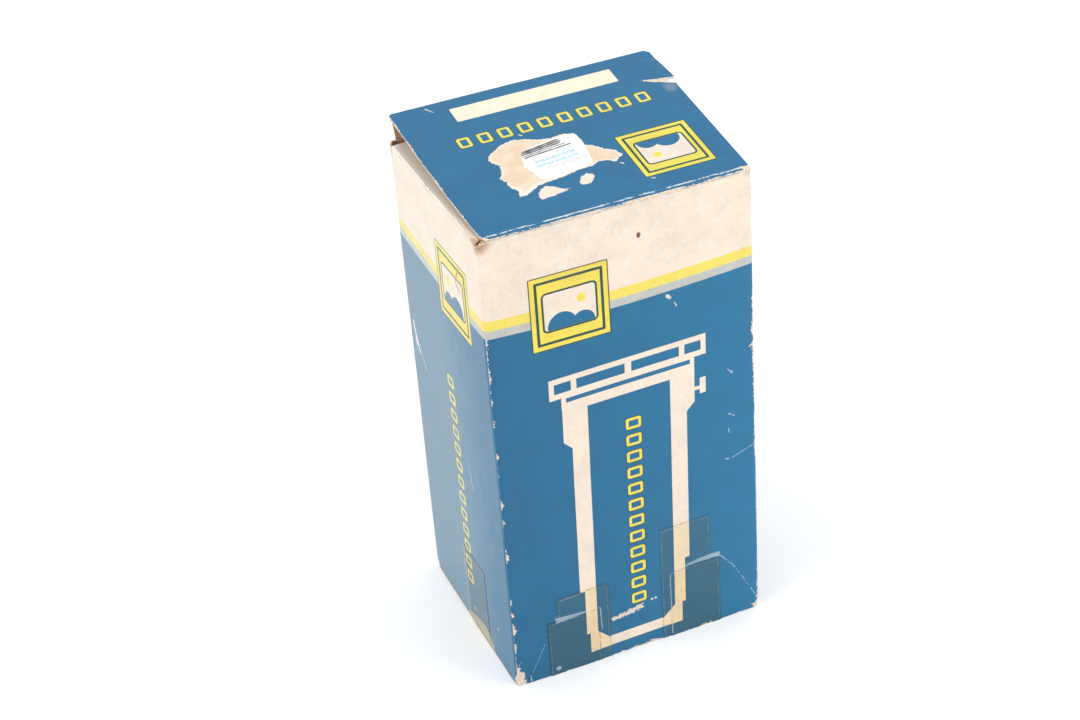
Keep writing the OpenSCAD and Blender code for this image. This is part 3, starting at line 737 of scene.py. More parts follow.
def handled(at):
    """How far handling has pushed a point of the walls, in millimetres."""
    push = Vector((0, 0, 0))
    if abs(at.x) > HALF_W - 0.3:
        push.x = -math.copysign(1, at.x)
    if abs(at.y) > HALF_D - 0.3:
        push.y = -math.copysign(1, at.y)
    low = max(0.0, min(1.0, (at.z - 40) / 20))
    wave = 0.5 + 0.5 * noise.noise(at * 0.045 + Vector((3, 8, 1)))
    sag = push.normalized() * 0.22 * wave * low
    for corner, radius, depth in CRUSHED:
        far = (at - Vector(corner)).length
        if far < radius:
            soft = (1 - far / radius) ** 2
            inward = Vector((-corner[0], -corner[1], 0)).normalized()
            sag += inward * depth * soft + Vector((0, 0, 0.35 * depth * soft if corner[2] < 9 else 0))
    return sag


for point in walls.data.vertices:
    point.co += handled(point.co / MM) * MM
applied(walls, "SOLIDIFY", thickness=BOARD_T * MM, offset=-1, use_even_offset=True)
put(
    walls,
    front_finish("front_print"),
    left_finish("left_print"),
    plain_wall_finish("right_print", False),
    plain_wall_finish("back_print", True),
    inner_board,
    cut_edge,
)
for face in walls.data.polygons:
    at, normal = face.center / MM, face.normal
    if abs(normal.z) > 0.75:
        face.material_index = 5
    elif normal.x * at.x / HALF_W + normal.y * at.y / HALF_D < 0:
        face.material_index = 4
    elif abs(normal.y) > abs(normal.x):
        face.material_index = 0 if at.y < 0 else 3
    else:
        face.material_index = 1 if at.x < 0 else 2
smooth(walls)
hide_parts("front_panel", "left_panel", "right_panel", "back_panel")
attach(walls, "carton")


# ---------- Lid ----------
# The top panel is folded back from the front wall and stands 7.4 degrees ajar. Its left edge is
# chipped to white fibres, its right edge has a short tear, and a sticker has torn its print off.

LID_ANGLE = math.radians(7.4)
LID_L = 58.9
LID_LEFT = -35.5
LID_RIGHT = 36.2
LID_REACH = 36.45
CREASE_ROUND = 0.3
CREASE_BEAD = 0.14
BEAD_LONG = 70.0
BEAD_MIDDLE = 0.85
CROWN = 0.03
LEFT_WORN = 1.9
LEFT_RUN = 24.0
LID_PLACE = Matrix.Translation((0, -HALF_D * MM, CARTON_H * MM)) @ Matrix.Rotation(LID_ANGLE, 4, "X")
TEAR_START = (29.2, 45.8)
TEAR_SLOPE = -0.5
TEAR_OPEN = 0.064
TEAR_THROUGH = 34.6
TEAR_LIFT = 1.2
TORN = (
    (16.2, 31.4), (18.1, 32.5), (20.8, 34.6), (24.0, 35.2), (27.1, 34.8), (30.7, 32.8), (33.0, 32.2),
    (36.6, 32.6), (39.4, 31.8), (40.1, 28.9), (39.7, 26.1), (41.6, 25.2), (43.2, 23.0), (45.8, 20.8),
    (46.7, 18.4), (43.8, 16.3), (42.2, 17.8), (39.5, 18.2), (38.5, 17.2), (33.9, 16.9), (29.1, 15.7),
    (25.4, 15.5), (22.4, 15.0), (19.2, 12.7), (16.6, 12.4), (17.5, 15.3), (16.0, 17.0), (16.2, 19.3),
    (15.0, 21.7), (16.2, 22.6), (17.3, 26.5), (15.6, 29.2),
)
RUBBED_LEFT = (
    (21.5, 11.9), (22.7, 13.6), (24.4, 14.1), (26.0, 12.9), (27.8, 11.3), (30.6, 10.8), (28.2, 10.4),
    (24.2, 9.8), (21.2, 9.3), (20.9, 10.3),
)
RUBBED_RIGHT = (
    (32.6, 12.9), (33.8, 14.3), (35.5, 14.8), (36.8, 13.6), (36.2, 11.9), (34.4, 10.8), (32.6, 10.8),
    (32.3, 11.9),
)
FAR_OUTSIDE = -9.0

bpy.ops.object.select_all(action="DESELECT")
bpy.ops.mesh.primitive_grid_add(x_subdivisions=96, y_subdivisions=80, size=1)
lid = added("lid_board")
lid.scale = ((LID_RIGHT - LID_LEFT) * MM, LID_L * MM, 1)
lid.location = ((LID_RIGHT + LID_LEFT) / 2 * MM, LID_L / 2 * MM, 0)
bpy.ops.object.transform_apply()


def cut_corner(piece, place, away):
    """Cuts off what lies beyond a slanted line, as a worn or rounded corner."""
    only(piece)
    bpy.ops.object.mode_set(mode="EDIT")
    bpy.ops.mesh.select_all(action="SELECT")
    bpy.ops.mesh.bisect(
        plane_co=(place[0] * MM, place[1] * MM, 0), plane_no=(away[0], away[1], 0), clear_outer=True
    )
    done()


ROUND = 1.2
middle = (LID_LEFT + ROUND, LID_L - ROUND)
for angle in (112, 135, 158):
    way = (math.cos(math.radians(angle)), math.sin(math.radians(angle)))
    cut_corner(lid, (middle[0] + ROUND * way[0], middle[1] + ROUND * way[1]), way)
cut_corner(lid, (LID_RIGHT - 0.6, LID_L - 0.6), (0.75, 0.66))
cut_corner(lid, (LID_LEFT + 0.6, 0.6), (-1, -1))


def tear_line(x):
    return TEAR_START[1] + TEAR_SLOPE * (x - TEAR_START[0])


for slope in (TEAR_SLOPE - TEAR_OPEN, TEAR_SLOPE + TEAR_OPEN):
    only(lid)
    bpy.ops.object.mode_set(mode="EDIT")
    bpy.ops.mesh.select_all(action="SELECT")
    bpy.ops.mesh.bisect(plane_co=(TEAR_START[0] * MM, TEAR_START[1] * MM, 0), plane_no=(-slope, 1, 0))
    done()
pick(lid, "FACE", lambda at, normal: at.x > TEAR_THROUGH
     and abs(at.y - tear_line(at.x)) < TEAR_OPEN * (at.x - TEAR_START[0]))
bpy.ops.mesh.delete(type="FACE")
done()


def inside(shape, x, y):
    """How far a place lies inside a closed outline; below 0 is outside."""
    nearest, within = 99.0, False
    for (x0, y0), (x1, y1) in zip(shape, shape[1:] + shape[:1]):
        run_x, run_y = x1 - x0, y1 - y0
        along = ((x - x0) * run_x + (y - y0) * run_y) / (run_x * run_x + run_y * run_y)
        along = max(0.0, min(1.0, along))
        nearest = min(nearest, math.hypot(x - x0 - run_x * along, y - y0 - run_y * along))
        if (y0 > y) != (y1 > y) and x < x0 + run_x * (y - y0) / run_y:
            within = not within
    return nearest if within else -nearest


torn_off = lid.data.attributes.new("torn_off", "FLOAT", "POINT")
rubbed_off = lid.data.attributes.new("rubbed_off", "FLOAT", "POINT")
for number, point in enumerate(lid.data.vertices):
    at = point.co / MM
    across = at.x + HALF_W
    torn_off.data[number].value = inside(TORN, across, at.y)
    rubbed = (inside(shape, across, at.y) for shape in (RUBBED_LEFT, RUBBED_RIGHT))
    rubbed_off.data[number].value = max(rubbed)
    chip = noise.fractal(Vector((at.y * 0.55, 5.2, 0)), 1.0, 2.1, 5)
    left_edge = max(0.0, 1 - (at.x - LID_LEFT) / 6)
    point.co.x += (LEFT_WORN * math.exp(-at.y / LEFT_RUN) - (LID_LEFT + HALF_W)) * left_edge * MM
    point.co.x += max(0.0, 0.06 + 0.18 * chip) * max(0.0, left_edge * 6 - 5) * MM
    bow = math.sin(math.pi * min(1, max(0, at.y / LID_L)))
    point.co.z += CROWN * (1 + noise.noise(at * 0.05)) * bow * MM
    near = max(0.0, min(1.0, (at.x - TEAR_START[0]) / 7)) ** 1.3
    beyond = at.y - tear_line(at.x)
    half = max(0.001, TEAR_OPEN * (at.x - TEAR_START[0]))
    behind = max(0.0, min(1.0, 0.5 + beyond / half / 2))
    lifted = TEAR_LIFT * near * max(0.0, 1 - max(0.0, beyond) / 12) ** 0.8
    point.co.z += lifted * behind * MM
    point.co.x += 0.15 * near * behind * MM
applied(lid, "SOLIDIFY", thickness=BOARD_T * MM, offset=-1)
for point in lid.data.vertices:
    point.co.x = max(-LID_REACH * MM, min(LID_REACH * MM, point.co.x))
pick(lid, "EDGE", lambda at, run: at.y < 0.01 and abs(run.x) > 0.2 and at.z > -0.1)
bpy.ops.mesh.bevel(offset=CREASE_ROUND * MM, segments=3)
done()
# A thin bead along the hinge line closes the front crease when the lid stands open.
bpy.ops.object.select_all(action="DESELECT")
bpy.ops.mesh.primitive_cylinder_add(
    vertices=12, radius=CREASE_BEAD * MM, depth=BEAD_LONG * MM,
    rotation=(0, math.pi / 2, 0), location=(BEAD_MIDDLE * MM, 0, 0),
)
bead = added("lid_crease_bead")
bpy.ops.object.transform_apply()
for name in ("torn_off", "rubbed_off"):
    for value in bead.data.attributes.new(name, "FLOAT", "POINT").data:
        value.value = FAR_OUTSIDE
only(lid)
bead.select_set(True)
bpy.ops.object.join()
lid.data.transform(LID_PLACE)


def lid_axes(f, point):
    """Places on the lid: across from its carton's left edge, back from the hinge, and height."""
    x, y, z = f.axes(point)
    cos, sin = math.cos(LID_ANGLE), math.sin(LID_ANGLE)
    back = (y + HALF_D) * cos + (z - CARTON_H) * sin
    above = (z - CARTON_H) * cos - (y + HALF_D) * sin
    return x + HALF_W, back, above


def lid_finish(name):
    """The lid's blue print. The torn patch shows kraft plies with a fibrous white rim, and two
    spots nearer the hinge are rubbed down to the white coating."""
    f = Finish(name)
    point = f.place()
    across, back, above = lid_axes(f, point)
    ink = f.mix(f.cloud(point, 7, 4) * 0.2, BLUE, (0.003, 0.12, 0.26))
    ink = badge(f, ink, (57.4 - across) * 1.09, (16.5 - back) * 1.13)
    ink = perforations(f, ink, back, across, 39.3, 10.5, 64.8)
    waver = scratch_waver(f, point)
    warp = f.cloud(point, 2.2, 5, 0.66) - 0.5
    ragged = f.cloud(point, 0.8, 5, 0.75) - 0.5
    torn = f.node("Attribute", {"attribute_name": "torn_off"}, output="Fac")
    torn = torn + warp * 0.9 + ragged * 1.6
    rubbed = f.node("Attribute", {"attribute_name": "rubbed_off"}, output="Fac")
    spot = (rubbed + warp * 0.9 + ragged * 1.2).edge(0.25)
    hole = torn.edge(0.12)
    white_rim = 0.45 + ragged * 1.4 + (17.2 - back).edge(3) * 0.9
    rim = hole * (white_rim - torn).edge(0.4)
    fibre = f.cloud(f.stretched(point, 1.0, 0.4, 1.0), 0.7, 4, 0.7)
    layer = (f.cloud(point, 4, 4) - 0.5).edge(0.12)
    kraft = f.mix(fibre, (0.80, 0.60, 0.42), (0.93, 0.75, 0.56))
    kraft = f.mix(layer * 0.6, kraft, (0.94, 0.80, 0.63))
    kraft = f.mix(rim * 0.85, kraft, f.mix(fibre, (0.90, 0.83, 0.72), (0.97, 0.95, 0.89)))
    left = f.node("Math", {"operation": "EXPONENT"}, {0: back * (-1 / LEFT_RUN)}) * LEFT_WORN
    right = CARTON_W - 0.3 - across
    wear = greatest(
        worn_edge(f, point, back, 0.3, -0.1),
        worn_edge(f, point, across - left, 0.3, 0.3),
        worn_edge(f, point, LID_L - back, 0.5, -0.7),
        crushed(f, point, (across - left).beyond(back), 1.6, 1.1),
        crushed(f, point, right.beyond(back), 1.9, 1.1),
        crushed(f, point, right.beyond(LID_L - back), 0.7, 1.0),
        scratches(
            across, back, waver,
            ((9.7, 57.4), (11.1, 55.0), 0.14), ((26.9, 36.8), (27.3, 36.2), 0.2),
            ((49.0, 6.5), (49.6, 6.2), 0.25), ((44.8, 15.3), (45.2, 15.0), 0.25),
        ),
    )
    broken = f.cloud(f.point(across * 0.35, back), 0.8, 3) - 0.56
    folded = (0.24 - abs(back - 1.25) + ragged * 0.9 + broken * 1.6).edge(0.2)
    past_tear = across - HALF_W - TEAR_START[0]
    fringe = 0.35 + past_tear * 0.05 - abs(back - TEAR_START[1] - past_tear * TEAR_SLOPE) + ragged * 1.2
    fringe = fringe.edge(0.25) * (across - 65.4).edge(0.6)
    dulled = (1.6 - (across - 70.6).beyond((back - 40.6) * 0.8) + ragged).edge(1.2)
    aged, bare, fleck, cloudy, grain = aged_card(
        f, point, ink, (0.82, 0.89, 0.93), (1.02, 1.08, 1.10), (0.80, 0.60, 0.44), (0.94, 0.88, 0.78)
    )
    aged = f.mix(dulled * 0.4, aged, (0.35, 0.42, 0.46))
    aged = f.mix(folded * 0.85, aged, (0.82, 0.84, 0.82))
    aged = f.mix((-above - 0.33).edge(0.1) * (0.3 - back).edge(0.1), aged, CREAM)
    white = f.mix((cloudy - 0.45).edge(0.4), (0.93, 0.88, 0.78), (0.90, 0.78, 0.68))
    colour = f.mix(spot, f.mix(wear, aged, bare), white)
    colour = f.mix(hole, colour, kraft)
    pale_ply = f.mix(fleck, (0.72, 0.55, 0.42), (0.92, 0.86, 0.76))
    torn_ply = f.mix((ragged + 0.15).edge(0.15), (0.40, 0.22, 0.13), pale_ply)
    colour = f.mix(fringe, colour, torn_ply)
    rough = 0.33 + (cloudy - 0.5) * 0.16 + wear.most(hole) * 0.5
    height = f.cloud(point, 9, 2) * 0.35 + grain * 0.08 - wear * 0.25 - hole * (0.75 + fibre * 0.35)
    height = height + rim * 0.5 - layer * hole * 0.3 - spot * 0.2
    return coated(f, colour, rough, height, 0.12)


def lid_edge_finish(name):
    """The lid's cut edge: white coated top ply, brown middle, paler liner."""
    f = Finish(name)
    point = f.place()
    above = lid_axes(f, point)[2]
    fibre = f.cloud(point, 0.6, 4, 0.7)
    ply = above + (fibre - 0.5) * 0.28
    colour = f.mix((ply + 0.2).edge(0.06), (0.45, 0.24, 0.14), (0.92, 0.85, 0.74))
    colour = f.mix((-0.42 - ply).edge(0.08), colour, (0.70, 0.55, 0.42))
    return f.shine(Base_Color=colour, Roughness=0.88, Normal=f.relief(fibre, 0.1))


put(lid, lid_finish("lid_print"), inner_board, lid_edge_finish("lid_cut_edge"))
lid_up = LID_PLACE.to_3x3() @ Vector((0, 0, 1))
for face in lid.data.polygons:
    facing = face.normal.dot(lid_up)
    front = face.center.y < -29.9 * MM and face.normal.y < -0.3
    face.material_index = 0 if facing > 0.4 or front else 1 if facing < -0.4 else 2
smooth(lid, 40)
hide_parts("lid_panel")
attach(lid, "lid")


# ---------- Tuck flap and dust flaps ----------
# Three flaps of the same sheet: the tuck flap hangs from the lid's back edge, and a dust flap
# with one rounded end folds in from each side wall. The print stops just past their folds.


def eased(node, name, break_by, body, slot, *materials, angle=35, segments=2):
    """A copy of a CAD node with its facets joined and its sharp edges broken by that many
    millimetres, which stands for the node."""
    piece = bpy.data.objects.new(name, nodes[node].data.copy())
    bpy.context.scene.collection.objects.link(piece)
    only(piece)
    bpy.ops.object.mode_set(mode="EDIT")
    bpy.ops.mesh.select_all(action="SELECT")
    bpy.ops.mesh.remove_doubles(threshold=0.002 * MM)
    bpy.ops.mesh.dissolve_limited(angle_limit=math.radians(0.5))
    done()
    if break_by:
        applied(piece, "BEVEL", width=break_by * MM, segments=segments, limit_method="ANGLE",
                angle_limit=math.radians(angle), use_clamp_overlap=True)
    smooth(piece, angle)
    put(piece, *materials)
    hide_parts(node)
    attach(piece, body)
    return piece


def fold_finish(name):
    """The cream print on a dust flap's fold, painted lighter than the walls' cream as painted
    light against the lid's shade, and rubbed brown along the crease.
    """
    f = Finish(name)
    point = f.place()
    x, y, z = f.axes(point)
    away = HALF_W - abs(x)
    rubbed = worn_edge(f, point, abs(away - 0.3), 0.4, -0.6)
    fibre = f.cloud(point, 0.6, 4, 0.7)
    # Painted light: the fold's cream is near white, lighter than the walls' cream, to make up for the
    # shade under the lid.
    colour = f.mix(f.cloud(point, 5, 4) * 0.5, (0.98, 0.94, 0.84), (0.96, 0.86, 0.72))
    streak = (f.cloud(f.point(x * 2.5, y * 0.12, z), 1.0, 3) - 0.5).edge(0.15) * (-18 - y).edge(24)
    colour = f.mix(streak * 0.6, colour, (0.62, 0.36, 0.19))
    colour = f.mix(rubbed * 0.8, colour, f.mix(fibre, (0.60, 0.38, 0.24), (0.86, 0.66, 0.48)))
    crumpled = (2.2 - away.beyond((y + HALF_D) * 0.6) + (fibre - 0.5) * 2).edge(0.8)
    colour = f.mix(crumpled * 0.85, colour, f.mix(fibre, (0.36, 0.17, 0.09), (0.74, 0.50, 0.33)))
    rough = 0.4 + rubbed * 0.45
    return f.shine(Base_Color=colour, Roughness=rough, Normal=f.relief(fibre, 0.05), IOR=1.5)


FOLD_ROUND = 0.4
tuck = eased(
    "lid_tuck_flap", "tuck_flap_board", 0.12, "tuck_flap", "bare_board", inner_board, cut_edge
)
fold_print_and_painted_light = fold_finish("fold_print_and_painted_light")
for node, fold_x in (("left_dust_flap", -HALF_W), ("right_dust_flap", HALF_W)):
    flap = eased(node, node + "_board", 0, node, "cream_board", inner_board, fold_print_and_painted_light, cut_edge)
    pick(flap, "EDGE", lambda at, run: abs(at.x - fold_x) < 0.06 and abs(run.y) > 20 and at.z > 137)
    bpy.ops.mesh.bevel(offset=FOLD_ROUND * MM, segments=4)
    done()
    applied(flap, "BEVEL", width=0.08 * MM, segments=2, limit_method="ANGLE", angle_limit=1.0)
    for face in flap.data.polygons:
        outside = face.normal.z > 0.3 or abs(face.center.x) > 36.1 * MM and face.normal.z > -0.6
        face.material_index = 1 if outside else 0 if face.normal.z < -0.6 else 2
    smooth(flap, 40)
TUCK_WIDER = 0.65
TUCK_HIGHER = 0.55
sliced(tuck, 2, [137.3, 138.2])
for point in tuck.data.vertices:
    if point.co.x < -33 * MM and point.co.z > 138.1 * MM:
        point.co.x -= TUCK_WIDER * MM
    if point.co.z > 144.5 * MM:
        point.co.z += TUCK_HIGHER * MM
for face in tuck.data.polygons:
    face.material_index = 0 if abs(face.normal.y) > 0.7 else 1


# ---------- Bottom closure and glue flap ----------
# The base panel is printed blue like the walls and stays shut under the tapes. Its dust flaps
# and its tuck flap lie behind it, and the glue flap holds the front wall to the right wall.


def base_finish(name):
    f = Finish(name)
    point = f.place()
    x, y, _ = f.axes(point)
    wear = worn_edge(f, point, (HALF_W - abs(x)).least(HALF_D - abs(y)), 1.6, 0.5)
    rubbed = (f.cloud(point, 12, 5, 0.65) - 0.62).edge(0.06)
    return printed(f, BLUE, wear.most(rubbed * 0.7), point)


base_print = base_finish("base_print")
base = eased("bottom_panel", "base_board", 0.1, "carton", "printed_board", inner_board, base_print)
for face in base.data.polygons:
    face.material_index = 1 if face.normal.z < -0.5 else 0
for node, name in (
    ("bottom_tuck_flap", "base_tuck_board"),
    ("bottom_dust_flaps", "base_dust_boards"),
    ("glue_flap", "glue_flap_board"),
):
    eased(node, name, 0.1, "carton", "bare_board", inner_board)


# ---------- Tapes ----------
# Five short strips of aged clear tape run from the walls round the bottom edge. The film has
# yellowed, dirt has gathered along its edges, and the ends that have lifted look pale.

ONE_FILM = ((0.90, 0.74, 0.72), (1.0, 0.94, 0.73))
TWO_FILMS = ((0.90, 0.64, 0.57), (0.97, 0.87, 0.62))
SIDE_FILM = ((0.80, 0.76, 0.62), (0.95, 0.90, 0.66))
# How much of the left wall's paler blue, partly fading and partly painted sheen, shows under the side
# tape.
TAPED_FADE_AND_SHEEN = 0.15


def tape_over(print_finish, name, wall, tints, left, right, top, bulge):
    """The finish of a strip between left and right: the wall's own print, seen through a film
    that has its own gloss. Wall 0 is the front. The strip's top edge rises by bulge in the middle."""
    f = Finish(name, over=print_finish)
    point, colour = f.kept("place"), f.kept("worn_print")
    parts = f.axes(point)
    across = parts[wall] + (HALF_W, HALF_D)[wall]
    up = parts[2]
    ragged = f.cloud(point, 1.0, 4, 0.7)
    patchy = f.cloud(point, 5, 3)
    blotchy = (f.cloud(point, 2.2, 3) - 0.45).edge(0.3)
    light = f.node("RGBToBW", inputs={"Color": colour})
    seen = f.mix(1.0, colour, f.mix(light * 1.6, *tints), "MULTIPLY")
    seen = f.mix(0.02 + patchy * 0.03, seen, (0.42, 0.46, 0.42))
    side = (right - left) / 2 - abs(across - (left + right) / 2)
    inset = (across - (left + right) / 2) / (right - left) * 2
    line = top + bulge - bulge * inset * inset - up
    edge_in = side.least(line)
    dirt = (0.14 - abs(edge_in - 0.16) + (ragged - 0.55) * 1.1).edge(0.3)
    seen = f.mix(dirt * (0.15 + blotchy * 0.45), seen, (0.10, 0.05, 0.035))
    dash = (0.12 - abs(edge_in - 0.5) + (ragged - 0.6) * 0.8).edge(0.2) * blotchy
    seen = f.mix(dash * 0.25, seen, (0.62, 0.72, 0.76))
    rough = 0.15 + patchy * 0.12
    height = (f.cloud(f.point(across * 0.5, up * 0.15), 1.0, 3) * 0.4 + patchy) * 0.75
    if wall == 0:
        return filmed(f, f.kept("lifted_film"), seen, rough, height)
    # Under the side tape the paler blue, partly fading and partly painted sheen, is turned down.
    f.tree.nodes["fade_and_sheen"].inputs[1].default_value = TAPED_FADE_AND_SHEEN
    slit = (0.16 - abs(across - right + 0.2) + (ragged - 0.5) * 0.2).edge(0.12)
    return coated(f, f.mix(slit * 0.7, seen, (0.70, 0.78, 0.78)), rough, height)


front_print, left_print = walls.data.materials[:2]
for node, under, wall, tints, left, right, top, bulge in (
    ("front_left_tape", front_print, 0, ONE_FILM, 13.0, 28.0, 25.2, 0.1),
    ("front_left_tape_patch", front_print, 0, TWO_FILMS, 9.9, 24.9, 17.7, 0.3),
    ("front_right_tape", front_print, 0, ONE_FILM, 43.5, 58.5, 37.0, 0.2),
    ("front_right_tape_patch", front_print, 0, TWO_FILMS, 46.0, 61.0, 21.6, 0.6),
    ("left_side_tape", left_print, 1, SIDE_FILM, 18.5, 33.5, 26.0, 0.1),
):
    put(nodes[node], tape_over(under, node + "_film", wall, tints, left, right, top, bulge))


# ---------- Stock label and price sticker ----------
# A plain strip of aged paper near the lid's back edge, and the torn middle of a white price
# sticker that has been struck through with a pen. Both are glued to the lid's print.


def paper_finish(name):
    f = Finish(name)
    point = f.place()
    fibre = f.cloud(point, 0.5, 4, 0.7)
    aged = f.cloud(point, 8, 3)
    smudge = (f.cloud(point, 3, 4) - 0.63).edge(0.1)
    colour = f.mix(aged, (0.96, 0.93, 0.74), (0.91, 0.85, 0.66))
    colour = f.mix(smudge * 0.12, colour, (0.45, 0.38, 0.3))
    return f.shine(Base_Color=colour, Roughness=0.6 + fibre * 0.2, Normal=f.relief(fibre, 0.03))


STAMP_BLUE = (0.22, 0.62, 0.78)
STAMP_PINK = (0.62, 0.52, 0.60)
PEN_BLACK = (0.03, 0.012, 0.03)


def sticker_finish(name):
    """White label paper with rows of washed-out blots and five strokes of a black pen."""
    f = Finish(name)
    point = f.place()
    across, back, _ = lid_axes(f, point)
    fibre = f.cloud(point, 0.5, 4, 0.7)
    ragged = f.cloud(point, 0.8, 3) - 0.5
    colour = f.mix(fibre, (0.99, 0.99, 0.98), (0.95, 0.955, 0.95))
    level = back - (across - 31) * 0.09
    for start, end, low, high, ink, strong in (
        (25.6, 36.7, 24.0, 25.1, STAMP_BLUE, 0.7), (25.4, 37.0, 22.2, 23.3, STAMP_BLUE, 0.65),
        (32.5, 36.7, 25.7, 26.7, STAMP_BLUE, 0.5), (27.9, 38.8, 20.3, 21.6, STAMP_PINK, 0.4),
    ):
        bar = box(across, level, start, end, low, high).edge(0.3)
        blot = (f.cloud(f.point(across, level * 0.8 + low * 7), 0.6, 2) - 0.47).edge(0.12)
        colour = f.mix(bar * blot * strong, colour, ink)
    waver = f.cloud(point, 2.5, 2) * 1.2 + 0.35
    bent = back + ragged * 0.2
    for stroke in (
        ((24.4, 29.3), (34.7, 31.0), 0.26), ((24.0, 28.7), (35.0, 30.3), 0.28),
        ((23.9, 28.1), (34.6, 29.5), 0.26), ((23.8, 27.4), (35.6, 28.8), 0.16),
        ((24.2, 26.8), (36.8, 28.0), 0.24),
    ):
        colour = f.mix(scratch(across, bent, *stroke, waver) * 0.93, colour, PEN_BLACK)
    return f.shine(Base_Color=colour, Roughness=0.5 + fibre * 0.2, Normal=f.relief(fibre, 0.03))


paper = paper_finish("aged_paper")
eased("stock_label", "stock_label_paper", 0.02, "lid", "paper", paper, segments=1)

bpy.ops.object.select_all(action="DESELECT")
bpy.ops.mesh.primitive_circle_add(vertices=160, radius=1, fill_type="NGON")
sticker = added("price_sticker_paper")
STICKER = (
    (24.4, 30.0), (28.5, 31.0), (32.5, 31.8), (36.8, 32.4), (38.9, 32.2), (40.1, 31.2), (40.2, 27.4),
    (40.2, 25.4), (39.5, 21.2), (39.2, 18.2), (33.7, 16.9), (29.5, 16.2), (25.8, 16.2), (24.2, 17.2),
    (22.6, 21.6), (22.5, 25.3), (23.2, 28.0),
)
STICKER_FAR = 12.0
STICKER_TOP = 0.1
STICKER_T = 0.09
middle = Vector((31.5, 24.4))
for point in sticker.data.vertices:
    way = point.co.xy.normalized()
    far = STICKER_FAR
    while inside(STICKER, middle.x + way.x * far, middle.y + way.y * far) < 0.3:
        far -= 0.05
    at = middle + way * far
    torn = noise.fractal(Vector((at.x * 0.7, at.y * 0.7, 4)), 1.0, 2.0, 5)
    far += min(0.3, torn * 0.8) * (1.0 if way.y < 0.3 and way.x < 0.6 else 0.2)
    at = middle + way * far
    point.co = ((at.x - HALF_W) * MM, at.y * MM, STICKER_TOP * MM)
applied(sticker, "SOLIDIFY", thickness=STICKER_T * MM, offset=-1)
sticker.data.transform(LID_PLACE)
put(sticker, sticker_finish("sticker_paper"))
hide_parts("price_sticker")
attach(sticker, "lid")


# ---------- Foam packing ----------
# Two blocks of white expanded foam, moulded from beads, that hold the duplicator by its draw
# tube and its main tube, clear of the walls.

FOAM_BEAD = 2.6


def foam_finish(name):
    f = Finish(name)
    point = f.place()
    cells = {"Vector": point, "Scale": 1 / FOAM_BEAD}
    seam = f.node("TexVoronoi", {"feature": "DISTANCE_TO_EDGE"}, cells)
    bead = f.node("TexVoronoi", {}, cells, output="Color")
    groove = (0.16 - seam).edge(0.2)
    colour = f.mix(0.05, (0.90, 0.90, 0.88), bead)
    colour = f.mix(groove * 0.35, colour, (0.62, 0.61, 0.58))
    height = seam.least(0.35) * 2 + f.cloud(point, 0.4, 2) * 0.12
    return f.shine(Base_Color=colour, Roughness=0.75, Normal=f.relief(height, 0.16))


foam = foam_finish("bead_foam")
for node in ("foam_cradle", "foam_collar"):
    eased(node, node + "_block", 0.6, "carton", "foam", foam, segments=3)


# ---------- Camera end, draw tube and lens ----------
# A satin ring with the camera thread is screwed to a black draw tube. A cell in the tube holds
# two plano-convex lenses with a stop between them, kept in by a slotted ring.


def black_finish(name, turned=True):
    """Black anodised aluminium, turned or milled, rubbed a little grey."""
    f = Finish(name)
    point = f.place()
    grain = f.cloud(point, 0.35, 3, 0.7)
    cloudy = f.cloud(point, 11, 4)
    stretch = (0.02, 0.02, 14.0) if turned else (0.5, 9.0, 0.5)
    lines = f.cloud(f.stretched(point, *stretch), 1.0, 3)
    rubbed = (cloudy - 0.6).edge(0.1) * (lines - 0.5).edge(0.1)
    colour = f.mix(grain, (0.012, 0.012, 0.014), (0.032, 0.032, 0.036))
    colour = f.mix(rubbed * 0.5, colour, (0.10, 0.10, 0.105))
    rough = 0.34 + grain * 0.12 + (cloudy - 0.5) * 0.15
    return f.shine(Base_Color=colour, Metallic=0.55, Roughness=rough, Normal=f.relief(lines, 0.012))


def satin_finish(name, turned=True):
    f = Finish(name)
    point = f.place()
    cloudy = f.cloud(point, 7, 4)
    stretch = (0.02, 0.02, 16.0) if turned else (16.0, 0.02, 0.02)
    lines = f.cloud(f.stretched(point, *stretch), 1.0, 3)
    colour = f.mix(cloudy, (0.56, 0.56, 0.57), (0.72, 0.72, 0.73))
    colour = f.mix((f.cloud(point, 1.3, 4) - 0.68).edge(0.06) * 0.5, colour, (0.30, 0.28, 0.25))
    rough = 0.26 + lines * 0.14 + (cloudy - 0.5) * 0.1
    return f.shine(Base_Color=colour, Metallic=1.0, Roughness=rough, Normal=f.relief(lines, 0.01))


def glass_finish(name):
    f = Finish(name)
    point = f.place()
    dust = (f.cloud(point, 0.6, 3) - 0.72).edge(0.05)
    colour = f.mix(dust * 0.3, (0.95, 0.97, 1.0), (0.7, 0.7, 0.68))
    return f.shine(Base_Color=colour, Roughness=0.02 + dust * 0.3, Transmission_Weight=1.0, IOR=1.52)


black = black_finish("black_anodised")
satin = satin_finish("satin_turned")
glass = glass_finish("coated_glass")
for node, break_by, slot, metal in (
    ("camera_thread_ring", 0.1, "satin_metal", satin),
    ("draw_tube", 0.2, "black_anodised", black),
    ("lens_cell", 0.15, "black_anodised", black),
    ("aperture_stop", 0.1, "black_anodised", black),
    ("lens_lock_ring", 0.1, "satin_metal", satin),
):
    eased(node, node + "_turned", break_by, "carton", slot, metal)
for node in ("rear_lens", "front_lens"):
    eased(node, node + "_ground", 0.1, "carton", "lens_glass", glass, angle=40)


# ---------- Main tube ----------
# Black tube with a shallow track for the lock screw. Two felt bands inside it grip the draw
# tube, and a thin ring near its top keeps stray light off the walls.


